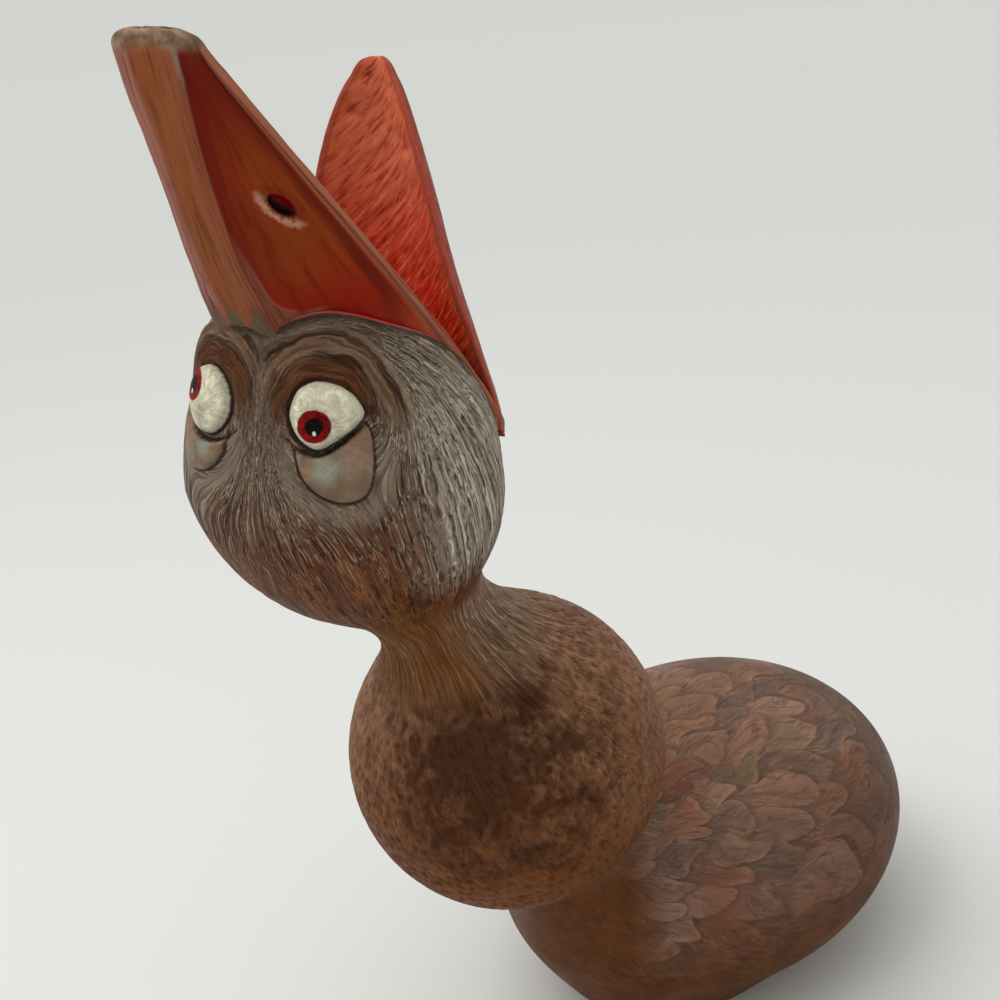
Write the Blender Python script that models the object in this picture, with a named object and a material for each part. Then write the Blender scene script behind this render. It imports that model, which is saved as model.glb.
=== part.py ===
"""A carved and painted wooden bird, gaping straight up.

One piece of wood: a low round body that stands on a flat underside, a chest ball ahead of it
and above it, a thin neck and an egg-shaped head whose open beak points at the sky.
The bird looks towards -Y, its left side is +X and the origin is the middle of the underside.
Sizes are in millimetres; points are (forward, left, up) until the mesh is made.
"""

import math

import bmesh
import bpy
import numpy as np

MM = 0.001

# Body: a flattened egg with a fuller breast in front, cut flat below.
BODY_CENTRE = (0.0, 0.0, 37.8)
BODY_HALF = (70.0, 57.0, 41.5)
BREAST_CENTRE = (16.0, 0.0, 12.0)
BREAST_HALF = (41.0, 30.0, 24.0)
BREAST_BLEND = 12.0
UNDERSIDE_ROUNDING = 1.6

# Waist and chest ball.
WAIST_START = (48.0, 0.0, 36.0)
WAIST_END = (80.0, 0.0, 84.0)
WAIST_RADIUS = 19.0
WAIST_BLEND = 20.0
CHEST_CENTRE = (86.6, 0.0, 102.8)
CHEST_RADIUS = 38.9
CHEST_BLEND = 4.0

# Neck and head.
HEAD_CENTRE = (128.7, 0.0, 187.2)
HEAD_HALF = (32.2, 32.6, 33.4)
CHIN_BACKSET = 0.22
CHIN_DROP = 1.07
NECK_RADIUS = 14.2
NECK_TOP = (120.0, 0.0, 180.0)
NECK_BLEND = 16.0
NAPE_BLEND = 12.0
FOREHEAD_END = (18.0, 0.0, 31.0)
FOREHEAD_RADIUS = 9.0
FOREHEAD_BLEND = 10.0
BROW_START = (8.0, 0.0, 20.0)
BROW_END = (15.0, 10.0, 27.5)
BROW_BULK = 8.5
BROW_BLEND = 8.0
CROWN_CENTRE = (2.0, 0.0, 12.0)
CROWN_HALF = (26.0, 26.0, 27.0)
GULLET_CENTRE = (-5.0, 0.0, 36.0)
GULLET_HALF = (14.0, 15.0, 17.0)
HEAD_TURN = math.radians(7.0)
HEAD_TILT = math.radians(3.0)

# Upper mandible, from the head's centre: ridge line, half width of the ridge, and the edge.
RIDGE = ((24.6, 33.0), (28.0, 40.0), (32.1, 49.2), (35.7, 60.2), (38.8, 70.5), (41.4, 80.0), (42.8, 87.4))
RIDGE_HALF = (7.2, 7.0, 5.9, 5.6, 5.9, 6.7, 6.8)
EDGE = ((-22.0, 26.0, 5.0), (-19.6, 26.4, 10.4), (-7.6, 23.8, 27.8), (2.0, 20.0, 41.0),
        (16.2, 14.2, 60.2), (31.0, 9.6, 79.0), (37.0, 7.2, 87.4))
PANEL_RECESS = 1.3
RIM_THICKNESS = 2.0
PALATE_ROOF = 0.3
PALATE_WALL = 0.06

# Lower mandible: the edge, the middle of the trough and the back, from the head's centre.
LOWER_EDGE = ((-21.4, 25.8, 4.0), (-19.2, 25.6, 12.0), (-16.8, 22.2, 26.5), (-15.6, 18.8, 38.6),
              (-15.4, 15.4, 52.4), (-16.2, 11.8, 64.0), (-18.0, 8.0, 73.0), (-20.2, 3.6, 79.4))
TROUGH = ((-24.0, 6.0), (-23.4, 13.0), (-23.8, 26.0), (-23.6, 38.6), (-23.2, 52.4), (-22.8, 64.0),
          (-22.2, 73.0), (-21.6, 79.0))
LOWER_BACK = ((-30.6, 2.0), (-30.6, 10.0), (-29.2, 24.0), (-27.4, 38.0), (-26.2, 52.0),
              (-25.2, 63.6), (-24.2, 72.8), (-23.4, 78.8))

# Eyes, from the head's centre. The face sits a little to the left of the beak's middle.
FACE_TURN = math.radians(8.5)
EYE_AZIMUTH = math.radians(24.5)
EYE_ELEVATION = math.radians(34.0)
EYE_RADIUS = 6.8
EYE_BULGE = 2.2
POUCH_AZIMUTH = math.radians(28.5)
POUCH_ELEVATION = math.radians(18.0)
POUCH_RADIUS = 7.6
POUCH_BULGE = 1.4
BROW_RADIUS = 12.6
BROW_WIDTH = 2.2
BROW_HEIGHT = 1.1

# Nostrils, cut into the side panels of the upper mandible.
NOSTRIL = (23.0, 10.4, 57.6)
NOSTRIL_HALF = (3.3, 2.4, 1.9)
NOSTRIL_SLANT = math.radians(39.0)

# Grid of the turned and carved surface.
RING_POINTS = 46
SHARP_ANGLE = math.radians(35.0)
EDGE_RINGS = 16
SEAT_SHARES = (0.93, 0.84, 0.7, 0.52, 0.32)


def vec(*values):
    return np.array(values, dtype=float)


def smooth_min(a, b, blend):
    h = np.clip(0.5 + 0.5 * (b - a) / blend, 0.0, 1.0)
    return b * (1.0 - h) + a * h - blend * h * (1.0 - h)


def smooth_max(a, b, blend):
    return -smooth_min(-a, -b, blend)


def ellipsoid(p, centre, half):
    q = p - vec(*centre)
    k0 = np.linalg.norm(q / vec(*half), axis=-1)
    k1 = np.linalg.norm(q / vec(*half) ** 2, axis=-1)
    return k0 * (k0 - 1.0) / np.maximum(k1, 1e-9)


def capsule(p, start, end, radius):
    a = vec(*start)
    run = vec(*end) - a
    t = np.clip((p - a) @ run / (run @ run), 0.0, 1.0)
    return np.linalg.norm(p - a - t[..., None] * run, axis=-1) - radius


def direction(azimuth, elevation, side=1):
    flat = math.cos(elevation)
    return vec(flat * math.cos(azimuth), side * flat * math.sin(azimuth), math.sin(elevation))


def face_relief(q):
    """Height of the carved face over the plain head, by direction from the head's centre."""
    unit = q / np.maximum(np.linalg.norm(q, axis=-1, keepdims=True), 1e-9)
    ahead = unit[..., 0] * math.cos(FACE_TURN) + unit[..., 1] * math.sin(FACE_TURN)
    aside = unit[..., 1] * math.cos(FACE_TURN) - unit[..., 0] * math.sin(FACE_TURN)
    unit = np.stack([ahead, np.abs(aside), unit[..., 2]], axis=-1)
    reach = HEAD_HALF[0]
    eye = direction(EYE_AZIMUTH, EYE_ELEVATION)
    to_eye = np.linalg.norm(unit - eye, axis=-1) * reach
    pouch = direction(POUCH_AZIMUTH, POUCH_ELEVATION)
    to_pouch = np.linalg.norm(unit - pouch, axis=-1) * reach
    ball = EYE_BULGE * np.sqrt(np.clip(1.0 - (to_eye / EYE_RADIUS) ** 2, 0.0, 1.0))
    bag = POUCH_BULGE * np.sqrt(np.clip(1.0 - (to_pouch / POUCH_RADIUS) ** 2, 0.0, 1.0))
    above = np.clip((unit[..., 2] - eye[2]) * 4.0 + 0.6, 0.0, 1.0)
    brow = BROW_HEIGHT * np.exp(-(((to_eye - BROW_RADIUS) / BROW_WIDTH) ** 2)) * above
    return np.maximum(np.maximum(ball, bag), brow)


def wood(p):
    """Signed distance to the whole figure without its beak."""
    body = ellipsoid(p, BODY_CENTRE, BODY_HALF)
    breast = ellipsoid(p, BREAST_CENTRE, BREAST_HALF)
    d = smooth_min(body, breast, BREAST_BLEND)
    d = smooth_min(d, capsule(p, WAIST_START, WAIST_END, WAIST_RADIUS), WAIST_BLEND)
    d = smooth_min(d, ellipsoid(p, CHEST_CENTRE, (CHEST_RADIUS,) * 3), CHEST_BLEND)
    d = smooth_max(d, -p[..., 2], UNDERSIDE_ROUNDING)
    d = smooth_min(d, capsule(p, CHEST_CENTRE, NECK_TOP, NECK_RADIUS), NECK_BLEND)
    q = p - vec(*HEAD_CENTRE)
    below = np.minimum(q[..., 2:], 0.0)
    sheared = q - below * vec(CHIN_BACKSET, 0.0, 1.0 - 1.0 / CHIN_DROP)
    skull = ellipsoid(sheared, (0.0, 0.0, 0.0), HEAD_HALF)
    front = capsule(q, (4.0, 0.0, 6.0), FOREHEAD_END, FOREHEAD_RADIUS)
    head = smooth_min(skull, front, FOREHEAD_BLEND)
    folded = np.stack([q[..., 0], np.abs(q[..., 1]), q[..., 2]], axis=-1)
    head = smooth_min(head, capsule(folded, BROW_START, BROW_END, BROW_BULK), BROW_BLEND)
    head = smooth_min(head, ellipsoid(q, CROWN_CENTRE, CROWN_HALF), BROW_BLEND) - face_relief(q)
    return smooth_min(d, head, NAPE_BLEND)


def gaping_wood(p):
    """The same with the throat hollowed out between the mandibles."""
    q = p - vec(*HEAD_CENTRE)
    return smooth_max(wood(p), -ellipsoid(q, GULLET_CENTRE, GULLET_HALF), 2.0)


def cast(origins, directions, field=wood, reach=130.0, step=1.0):
    """Distance along each ray from inside the wood to its surface."""
    low = np.zeros(len(origins))
    open_ray = np.ones(len(origins), bool)
    travel = 0.0
    while travel < reach and open_ray.any():
        travel += step
        outside = field(origins + travel * directions) > 0.0
        low = np.where(open_ray & ~outside, travel, low)
        open_ray &= ~outside
    high = low + step
    for _ in range(24):
        middle = 0.5 * (low + high)
        inside = field(origins + middle[:, None] * directions) < 0.0
        low = np.where(inside, middle, low)
        high = np.where(inside, high, middle)
    return 0.5 * (low + high)


def stations():
    """Middle (forward, up) and lean in degrees of each ring, from the tail to the beak's seat."""
    keys = [(-66.5, 37.0, 0.0), (-60.0, 37.0, 0.0), (-50.0, 37.0, 0.0), (-30.0, 36.0, 0.0),
            (0.0, 36.0, 0.0), (25.0, 37.0, 0.0), (40.0, 38.0, 0.0), (53.0, 39.7, 15.0),
            (65.0, 44.7, 30.0), (74.0, 54.0, 45.0), (75.6, 65.7, 58.0), (76.5, 76.0, 64.0),
            (80.0, 90.0, 64.0), (86.6, 102.8, 63.4), (96.0, 121.7, 63.4), (102.5, 134.8, 63.4),
            (108.5, 147.0, 66.0), (114.0, 158.0, 72.0), (121.0, 172.0, 86.0), (126.0, 182.0, 97.0),
            (129.0, 192.0, 107.0), (130.0, 201.0, 115.5), (130.0, 208.2, 122.4), (124.1, 217.5, 122.4)]
    counts = [2, 2, 4, 4, 3, 2, 3, 3, 3, 2, 3, 2, 2, 4, 3, 3, 5, 5, 5, 5, 5, 4, 4]
    out = []
    for first, last, count in zip(keys[:-1], keys[1:], counts):
        for i in range(count):
            t = i / count
            out.append([a + (b - a) * t for a, b in zip(first, last)])
    out.append(list(keys[-1]))
    return np.array(out)


def ring_angles():
    """Angles round a ring, closer together on the front, where the face is."""
    u = np.arange(RING_POINTS) * 2.0 * math.pi / RING_POINTS
    return u + 0.22 * np.sin(u)


def figure():
    """Rings cast from the spine to the surface of the wood, closed at the tail and under the beak."""
    rings = stations()
    angle = ring_angles()
    lean = np.radians(rings[:, 2])
    back = np.stack([-np.sin(lean), np.zeros(len(lean)), np.cos(lean)], axis=1)
    centre = np.stack([rings[:, 0], np.zeros(len(lean)), rings[:, 1]], axis=1)
    ways = (np.cos(angle)[None, :, None] * back[:, None, :]
            + np.sin(angle)[None, :, None] * vec(0.0, 1.0, 0.0))
    origins = np.repeat(centre, RING_POINTS, axis=0)
    ways = ways.reshape(-1, 3)
    hits = origins + cast(origins, ways)[:, None] * ways
    tail = vec(*BODY_CENTRE) * vec(1.0, 1.0, 0.98)
    tail_hit = tail + cast(tail[None, :], vec(-1.0, 0.0, 0.0)[None, :]) * vec(-1.0, 0.0, 0.0)
    last = back[-1]
    rise = vec(-last[2], 0.0, last[0])
    rise = rise if rise[2] > 0.0 else -rise
    seat = hits[-RING_POINTS:]
    tops = []
    for share in SEAT_SHARES:
        below = centre[-1] + share * (seat - centre[-1]) - (15.0 * (1.0 - share) + 1.5) * rise
        up = np.repeat(rise[None, :], RING_POINTS, axis=0)
        tops.append(below + cast(below, up, gaping_wood)[:, None] * rise)
    below = centre[-1][None, :] - 16.5 * rise
    top_hit = below + cast(below, rise[None, :], gaping_wood)[:, None] * rise
    hits = np.vstack([hits] + tops)
    verts = np.vstack([hits, tail_hit, top_hit])
    faces = []
    n = RING_POINTS
    total = len(rings) + len(SEAT_SHARES)
    for i in range(total - 1):
        for j in range(n):
            k = (j + 1) % n
            faces.append((i * n + j, i * n + k, (i + 1) * n + k, (i + 1) * n + j))
    tail_index = len(hits)
    for j in range(n):
        faces.append((tail_index, (j + 1) % n, j))
        base = (total - 1) * n
        faces.append((tail_index + 1, base + j, base + (j + 1) % n))
    return verts, faces


def along(keys, count):
    """Points of a smooth curve through the keys, evenly spaced in key number."""
    keys = np.array(keys, dtype=float)
    if keys.ndim == 1:
        keys = keys[:, None]
    padded = np.vstack([2 * keys[0] - keys[1], keys, 2 * keys[-1] - keys[-2]])
    where = np.linspace(0.0, len(keys) - 1.0, count)
    index = np.minimum(where.astype(int), len(keys) - 2)
    t = (where - index)[:, None]
    a, b, c, d = (padded[index + k] for k in range(4))
    return 0.5 * (2 * b + (c - a) * t + (2 * a - 5 * b + 4 * c - d) * t ** 2 + (3 * b - a - 3 * c + d) * t ** 3)


def mirrored(half):
    """A closed ring from its half: the first and last points lie on the middle."""
    other = half[-2:0:-1] * vec(1.0, -1.0, 1.0)
    return np.vstack([half, other])


def loft(rings, tip):
    """A closed skin over rings of equal counts, flat at the first and drawn to a point at the last."""
    count = len(rings[0])
    verts = np.vstack(rings + [tip[None, :]])
    faces = [tuple(range(count))]
    for i in range(len(rings) - 1):
        for j in range(count):
            k = (j + 1) % count
            faces.append((i * count + j, (i + 1) * count + j, (i + 1) * count + k, i * count + k))
    top = len(rings) * count
    base = (len(rings) - 1) * count
    for j in range(count):
        k = (j + 1) % count
        faces.append((top, base + k, base + j))
    return verts, faces


def upper_ring(ridge, half, edge):
    """One section of the upper mandible: ridge, recessed side panel, rim and hollow palate."""
    front = vec(ridge[0], 0.0, ridge[1])
    drop = vec(edge[0], 0.0, edge[2]) - front
    deep = np.linalg.norm(drop)
    wide = edge[1]
    run = vec(deep, wide - half)
    slope = np.linalg.norm(run)
    inward = vec(run[1], -run[0]) / slope
    recess = min(PANEL_RECESS, 0.12 * deep)
    lip = min(RIM_THICKNESS, 0.35 * deep, 0.3 * wide)
    shoulder = vec(0.0, half)
    rim = vec(deep, wide)
    points = [vec(-0.5, 0.0), vec(-0.35, 0.6 * half), shoulder]
    fall = min(1.6, 0.12 * slope) / slope
    for share, depth in ((fall, 0.5), (2.2 * fall, 1.0), (0.45, 1.15), (0.72, 1.0), (1.0 - 1.3 * lip / slope, 0.5)):
        points.append(shoulder + share * run + inward * recess * depth)
    points += [rim, rim + inward * lip]
    for share in (0.2, 0.42, 0.64):
        points.append(rim - share * run + inward * (lip + recess + PALATE_WALL * deep * share))
    points.append(vec(max(PALATE_ROOF * deep, min(3.0, 0.6 * deep)), 0.0))
    flat = np.array(points)
    return mirrored(front + flat[:, :1] * (drop / deep) + flat[:, 1:] * vec(0.0, 1.0, 0.0))


def upper_mandible():
    ridges = along(RIDGE, EDGE_RINGS)
    halves = along(RIDGE_HALF, EDGE_RINGS)[:, 0]
    edges = along(EDGE, EDGE_RINGS)
    rings = [upper_ring(ridges[i], halves[i], edges[i]) for i in range(EDGE_RINGS)]
    tip = vec(ridges[-1][0] - 1.2, 0.0, ridges[-1][1] + 1.4)
    return loft(rings, tip)


def lower_ring(edge, trough, back):
    """One section of the lower mandible: hollow face, rounded rim and swelling back."""
    rim = vec(*edge)
    hollow = vec(trough[0], 0.0, trough[1])
    outer = vec(back[0], 0.0, back[1])
    lip = min(1.6, 0.35 * rim[1])
    inner = rim + vec(-0.4, -lip, 0.0)
    points = [hollow]
    for share in (0.35, 0.7, 0.9):
        points.append(vec(hollow[0] + (inner[0] - hollow[0]) * share ** 2, inner[1] * share,
                          hollow[2] + (inner[2] - hollow[2]) * share ** 2))
    points += [inner, rim]
    for share in (0.25, 0.5, 0.75):
        turn = share * math.pi / 2
        points.append(vec(rim[0] + (outer[0] - rim[0]) * math.sin(turn), rim[1] * math.cos(turn),
                          rim[2] + (outer[2] - rim[2]) * math.sin(turn)))
    points.append(outer)
    return mirrored(np.array(points))


def lower_mandible():
    edges = along(LOWER_EDGE, EDGE_RINGS)
    troughs = along(TROUGH, EDGE_RINGS)
    backs = along(LOWER_BACK, EDGE_RINGS)
    rings = [lower_ring(edges[i], troughs[i], backs[i]) for i in range(EDGE_RINGS)]
    tip = vec(0.5 * (edges[-1][0] + backs[-1][0]), 0.0, edges[-1][2] + 1.2)
    return loft(rings, tip)


def posed(points):
    """Turns and tilts the head on its neck, easing in between chest and chin."""
    centre = vec(*HEAD_CENTRE)
    share = np.clip((points[:, 2] - 138.0) / 26.0, 0.0, 1.0)
    share = share * share * (3.0 - 2.0 * share)
    q = points - centre
    tilt = HEAD_TILT * share
    y = q[:, 1] * np.cos(tilt) + q[:, 2] * np.sin(tilt)
    z = -q[:, 1] * np.sin(tilt) + q[:, 2] * np.cos(tilt)
    turn = HEAD_TURN * share
    x2 = q[:, 0] * np.cos(turn) - y * np.sin(turn)
    y2 = q[:, 0] * np.sin(turn) + y * np.cos(turn)
    return np.stack([x2, y2, z], axis=1) + centre


def make_object(name, verts, faces):
    """Mesh object from (forward, left, up) millimetres: forward becomes -Y and left +X."""
    mesh = bpy.data.meshes.new(name)
    placed = np.stack([verts[:, 1], -verts[:, 0], verts[:, 2]], axis=1) * MM
    mesh.from_pydata([tuple(v) for v in placed], [], [tuple(f) for f in faces])
    mesh.update()
    obj = bpy.data.objects.new(name, mesh)
    bpy.context.scene.collection.objects.link(obj)
    bm = bmesh.new()
    bm.from_mesh(mesh)
    bmesh.ops.recalc_face_normals(bm, faces=bm.faces)
    if bm.calc_volume(signed=True) < 0.0:
        bmesh.ops.reverse_faces(bm, faces=bm.faces)
    bmesh.ops.triangulate(bm, faces=bm.faces)
    bm.to_mesh(mesh)
    bm.free()
    mesh.shade_smooth()
    mesh.set_sharp_from_angle(angle=SHARP_ANGLE)
    return obj


def joined(target, other, operation):
    """Adds or cuts a helper solid."""
    other.hide_render = True
    other.display_type = "WIRE"
    modifier = target.modifiers.new(operation.title() + " " + other.name, "BOOLEAN")
    modifier.operation = operation
    modifier.solver = "EXACT"
    modifier.object = other


def nostril(side):
    """A slanting oval cutter in one side panel."""
    verts = []
    faces = []
    rows, cols = 6, 10
    for i in range(rows + 1):
        v = math.pi * i / rows
        for j in range(cols):
            u = 2.0 * math.pi * j / cols
            a = NOSTRIL_HALF[0] * math.sin(v) * math.cos(u)
            b = NOSTRIL_HALF[1] * math.sin(v) * math.sin(u)
            c = NOSTRIL_HALF[2] * math.cos(v)
            forward = a * math.cos(NOSTRIL_SLANT) - c * math.sin(NOSTRIL_SLANT)
            up = a * math.sin(NOSTRIL_SLANT) + c * math.cos(NOSTRIL_SLANT)
            verts.append((NOSTRIL[0] + forward, side * (NOSTRIL[1] + b), NOSTRIL[2] + up))
    for i in range(rows):
        for j in range(cols):
            k = (j + 1) % cols
            faces.append((i * cols + j, i * cols + k, (i + 1) * cols + k, (i + 1) * cols + j))
    return np.array(verts), faces


def wood_material():
    material = bpy.data.materials.new("painted wood")
    material.use_nodes = True
    shader = material.node_tree.nodes["Principled BSDF"]
    shader.inputs["Base Color"].default_value = (0.16, 0.085, 0.05, 1.0)
    shader.inputs["Roughness"].default_value = 0.5
    return material


def build():
    for obj in list(bpy.data.objects):
        bpy.data.objects.remove(obj, do_unlink=True)
    verts, faces = figure()
    bird = make_object("carved_bird", posed(verts), faces)
    bird.data.materials.append(wood_material())
    head = vec(*HEAD_CENTRE)
    for name, (points, skin) in (("upper_mandible", upper_mandible()), ("lower_mandible", lower_mandible())):
        joined(bird, make_object(name, posed(points + head), skin), "UNION")
    for side, name in ((1, "left_nostril"), (-1, "right_nostril")):
        points, skin = nostril(side)
        joined(bird, make_object(name, posed(points + head), skin), "DIFFERENCE")


build()
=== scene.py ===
"""Looks of a carved and painted wooden bird that gapes straight up.

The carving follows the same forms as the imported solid, with the finer work laid over them:
gouged dabs on the chest ball, brushed hair on the head, lids, pouches and brows, and a hollow beak.
Sizes are in millimetres and points are (forward, left, up) until a mesh is made.
The bird looks towards -Y and its left side is +X.
"""

import math

import bmesh
import bpy
import numpy as np
from mathutils import Matrix, Vector


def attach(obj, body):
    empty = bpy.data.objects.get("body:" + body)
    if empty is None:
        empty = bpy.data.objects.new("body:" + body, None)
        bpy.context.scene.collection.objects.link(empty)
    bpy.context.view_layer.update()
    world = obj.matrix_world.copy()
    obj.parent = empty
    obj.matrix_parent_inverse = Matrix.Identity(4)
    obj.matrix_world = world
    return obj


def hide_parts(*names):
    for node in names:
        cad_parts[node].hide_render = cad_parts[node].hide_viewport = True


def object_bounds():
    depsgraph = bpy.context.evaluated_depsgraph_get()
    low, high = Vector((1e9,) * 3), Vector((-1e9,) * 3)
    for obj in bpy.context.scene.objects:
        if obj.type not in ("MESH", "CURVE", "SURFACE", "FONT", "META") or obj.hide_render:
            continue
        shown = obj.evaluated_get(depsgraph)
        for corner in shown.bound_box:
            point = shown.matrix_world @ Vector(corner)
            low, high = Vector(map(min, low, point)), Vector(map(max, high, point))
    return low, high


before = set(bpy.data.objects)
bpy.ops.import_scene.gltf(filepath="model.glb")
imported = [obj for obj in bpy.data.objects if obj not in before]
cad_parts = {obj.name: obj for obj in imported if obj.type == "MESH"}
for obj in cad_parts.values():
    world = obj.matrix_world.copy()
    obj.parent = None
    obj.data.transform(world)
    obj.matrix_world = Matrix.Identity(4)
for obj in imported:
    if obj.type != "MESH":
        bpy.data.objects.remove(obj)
CAD_LOW, CAD_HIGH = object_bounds()

MM = 0.001
FINENESS = 1.0

# Body, waist, chest ball and neck.
BODY_CENTRE = (0.0, 0.0, 37.8)
BODY_HALF = (70.0, 57.0, 41.5)
BREAST_CENTRE = (16.0, 0.0, 12.0)
BREAST_HALF = (41.0, 30.0, 24.0)
BREAST_BLEND = 12.0
UNDERSIDE_ROUNDING = 1.6
WAIST_START = (48.0, 0.0, 36.0)
WAIST_END = (80.0, 0.0, 84.0)
WAIST_RADIUS = 19.0
WAIST_BLEND = 20.0
CHEST_CENTRE = (86.6, 0.0, 102.8)
CHEST_RADIUS = 38.9
CHEST_BLEND = 4.0
NECK_RADIUS = 14.2
NECK_TOP = (120.0, 0.0, 180.0)
NECK_BLEND = 16.0
NAPE_BLEND = 12.0

# Head, with the bulk of forehead, brows and crown, and the throat between the mandibles.
HEAD_CENTRE = (128.7, 0.0, 187.2)
HEAD_HALF = (32.2, 32.6, 33.4)
CHIN_BACKSET = 0.22
CHIN_DROP = 1.07
FOREHEAD_START = (4.0, 0.0, 6.0)
FOREHEAD_END = (18.0, 0.0, 31.0)
FOREHEAD_RADIUS = 9.0
FOREHEAD_BLEND = 10.0
BROW_START = (8.0, 0.0, 20.0)
BROW_END = (15.0, 10.0, 27.5)
BROW_BULK = 8.5
BROW_BLEND = 8.0
CROWN_CENTRE = (2.0, 0.0, 12.0)
CROWN_HALF = (26.0, 26.0, 27.0)
GULLET_CENTRE = (-5.0, 0.0, 36.0)
GULLET_HALF = (14.0, 15.0, 17.0)
GULLET_BLEND = 2.0
HEAD_TURN = math.radians(7.0)
HEAD_TILT = math.radians(3.0)
TURN_START = 138.0
TURN_RUN = 26.0

# Upper mandible, from the head's centre: ridge line, half width of the ridge, and the edge.
RIDGE = ((24.6, 33.0), (28.0, 40.0), (32.1, 49.2), (35.7, 60.2), (38.8, 70.5), (41.4, 80.0), (42.8, 87.4))
RIDGE_HALF = (7.2, 7.0, 5.9, 5.6, 5.9, 6.7, 6.8)
EDGE = ((-22.0, 26.0, 5.0), (-19.6, 26.4, 10.4), (-7.6, 23.8, 27.8), (2.0, 20.0, 41.0),
        (16.2, 14.2, 60.2), (31.0, 9.6, 79.0), (37.0, 7.2, 87.4))
PANEL_RECESS = 1.3
RIM_THICKNESS = 2.0
PALATE_ROOF = 0.3
PALATE_WALL = 0.06

# Lower mandible: the edge, the middle of the trough and the back, from the head's centre.
LOWER_EDGE = ((-21.4, 25.8, 4.0), (-19.2, 25.6, 12.0), (-16.8, 22.2, 26.5), (-15.6, 18.8, 38.6),
              (-15.4, 15.4, 52.4), (-16.2, 11.8, 64.0), (-18.0, 8.0, 73.0), (-20.2, 3.6, 79.4))
TROUGH = ((-24.0, 6.0), (-23.4, 13.0), (-23.8, 26.0), (-23.6, 38.6), (-23.2, 52.4), (-22.8, 64.0),
          (-22.2, 73.0), (-21.6, 79.0))
LOWER_BACK = ((-30.6, 2.0), (-30.6, 10.0), (-29.2, 24.0), (-27.4, 38.0), (-26.2, 52.0),
              (-25.2, 63.6), (-24.2, 72.8), (-23.4, 78.8))
NOSTRIL = (23.2, 9.8, 57.8)
NOSTRIL_HALF = (3.3, 1.5)
NOSTRIL_SLANT = math.radians(39.0)
NOSTRIL_DEPTH = 1.7

# Face, which sits a little to the left of the beak's middle. Outlines are (outward, upward)
# on the plane that touches the head at the eye.
FACE_TURN = math.radians(8.5)
EYE_AZIMUTH = math.radians(24.5)
EYE_ELEVATION = math.radians(34.0)
EYEBALL = ((-5.9, 0.1), (-5.5, 2.3), (-4.2, 4.3), (-2.3, 5.3), (0.1, 5.6), (3.1, 5.0), (5.5, 3.7),
           (6.8, 2.1), (7.4, 0.6), (6.7, -0.9), (4.9, -2.6), (2.3, -4.3), (-1.0, -5.7), (-3.4, -4.7),
           (-5.1, -2.6))
LID_LINE = ((-7.2, -3.2), (-5.2, -5.2), (-2.8, -6.4), (-0.5, -6.6), (2.6, -5.1), (6.2, -2.5), (8.6, -0.5),
            (11.4, 0.9))
POUCH_LINE = ((-5.6, -5.4), (-5.1, -9.2), (-3.6, -11.9), (-1.0, -14.0), (2.6, -15.1), (5.9, -14.5),
              (7.7, -12.8), (8.6, -10.0), (8.9, -6.7), (8.7, -3.6), (7.9, -1.3))
EYEBALL_FAR = ((-5.4, -1.2), (-5.1, 1.6), (-3.7, 3.8), (-1.4, 5.2), (1.2, 5.6), (3.8, 4.7), (5.8, 2.9),
               (6.9, 0.5), (6.6, -2.0), (5.2, -4.6), (3.0, -6.4), (0.4, -7.0), (-2.2, -6.2), (-4.3, -4.0))
LID_FAR = ((-7.4, -4.6), (-5.6, -6.4), (-3.0, -7.8), (0.2, -8.3), (3.4, -7.7), (6.0, -6.0), (8.4, -3.6),
           (10.4, -1.2))
SHIFT_NEAR = (-0.3, 0.6)
SHIFT_FAR = (0.0, 2.2)
IRIS_NEAR = (-1.4, -1.6)
IRIS_FAR = (3.0, 2.1)
FAR_EYE_STRETCH = 1.12
EYE_BULGE = 2.2
POUCH_BULGE = 1.5

# Where the beak's lower border crosses the head, from the mouth corner to the forehead.
BEAK_BORDER = ((-19.8, 26.6, 9.3), (-8.3, 23.4, 25.9), (-3.4, 21.4, 29.4), (3.9, 18.1, 31.9),
               (11.2, 14.2, 34.2), (16.7, 10.9, 36.2), (22.1, 8.1, 36.9), (24.2, 7.1, 37.7), (28.0, 0.0, 39.5))

BEAK_LINE = math.radians(83.0)
BORDER_REACH = 38.0
FACE_REACH = 22.0
FAR = 30.0

# Hair on the head runs from the foot of the beak to the nape, round the eyes.
HAIR_SOURCE = (0.0, math.radians(54.0))
HAIR_SINK = (math.pi, math.radians(-60.6))
HAIR_ROUND_EYE = 0.72
FLOW_RADIUS = 33.0

# Feathers on the body run from the chest junction to the tail.
FEATHER_SOURCE = (0.0, math.radians(37.0))
FEATHER_SINK = (math.pi, math.radians(-4.0))
BODY_FLOW_RADIUS = 50.0


def vec(*values):
    return np.array(values, dtype=float)


def soft_step(x, low, high):
    t = np.clip((x - low) / (high - low), 0.0, 1.0)
    return t * t * (3.0 - 2.0 * t)


def hump(x, middle, width):
    return np.exp(-(((x - middle) / width) ** 2))


def smooth_min(a, b, blend):
    h = np.clip(0.5 + 0.5 * (b - a) / blend, 0.0, 1.0)
    return b * (1.0 - h) + a * h - blend * h * (1.0 - h)


def smooth_max(a, b, blend):
    return -smooth_min(-a, -b, blend)


def ellipsoid(p, centre, half):
    q = p - vec(*centre)
    k0 = np.linalg.norm(q / vec(*half), axis=-1)
    k1 = np.linalg.norm(q / vec(*half) ** 2, axis=-1)
    return k0 * (k0 - 1.0) / np.maximum(k1, 1e-9)


def capsule(p, start, end, radius):
    a = vec(*start)
    run = vec(*end) - a
    t = np.clip((p - a) @ run / (run @ run), 0.0, 1.0)
    return np.linalg.norm(p - a - t[..., None] * run, axis=-1) - radius


def direction(azimuth, elevation):
    flat = math.cos(elevation)
    return vec(flat * math.cos(azimuth), flat * math.sin(azimuth), math.sin(elevation))


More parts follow.
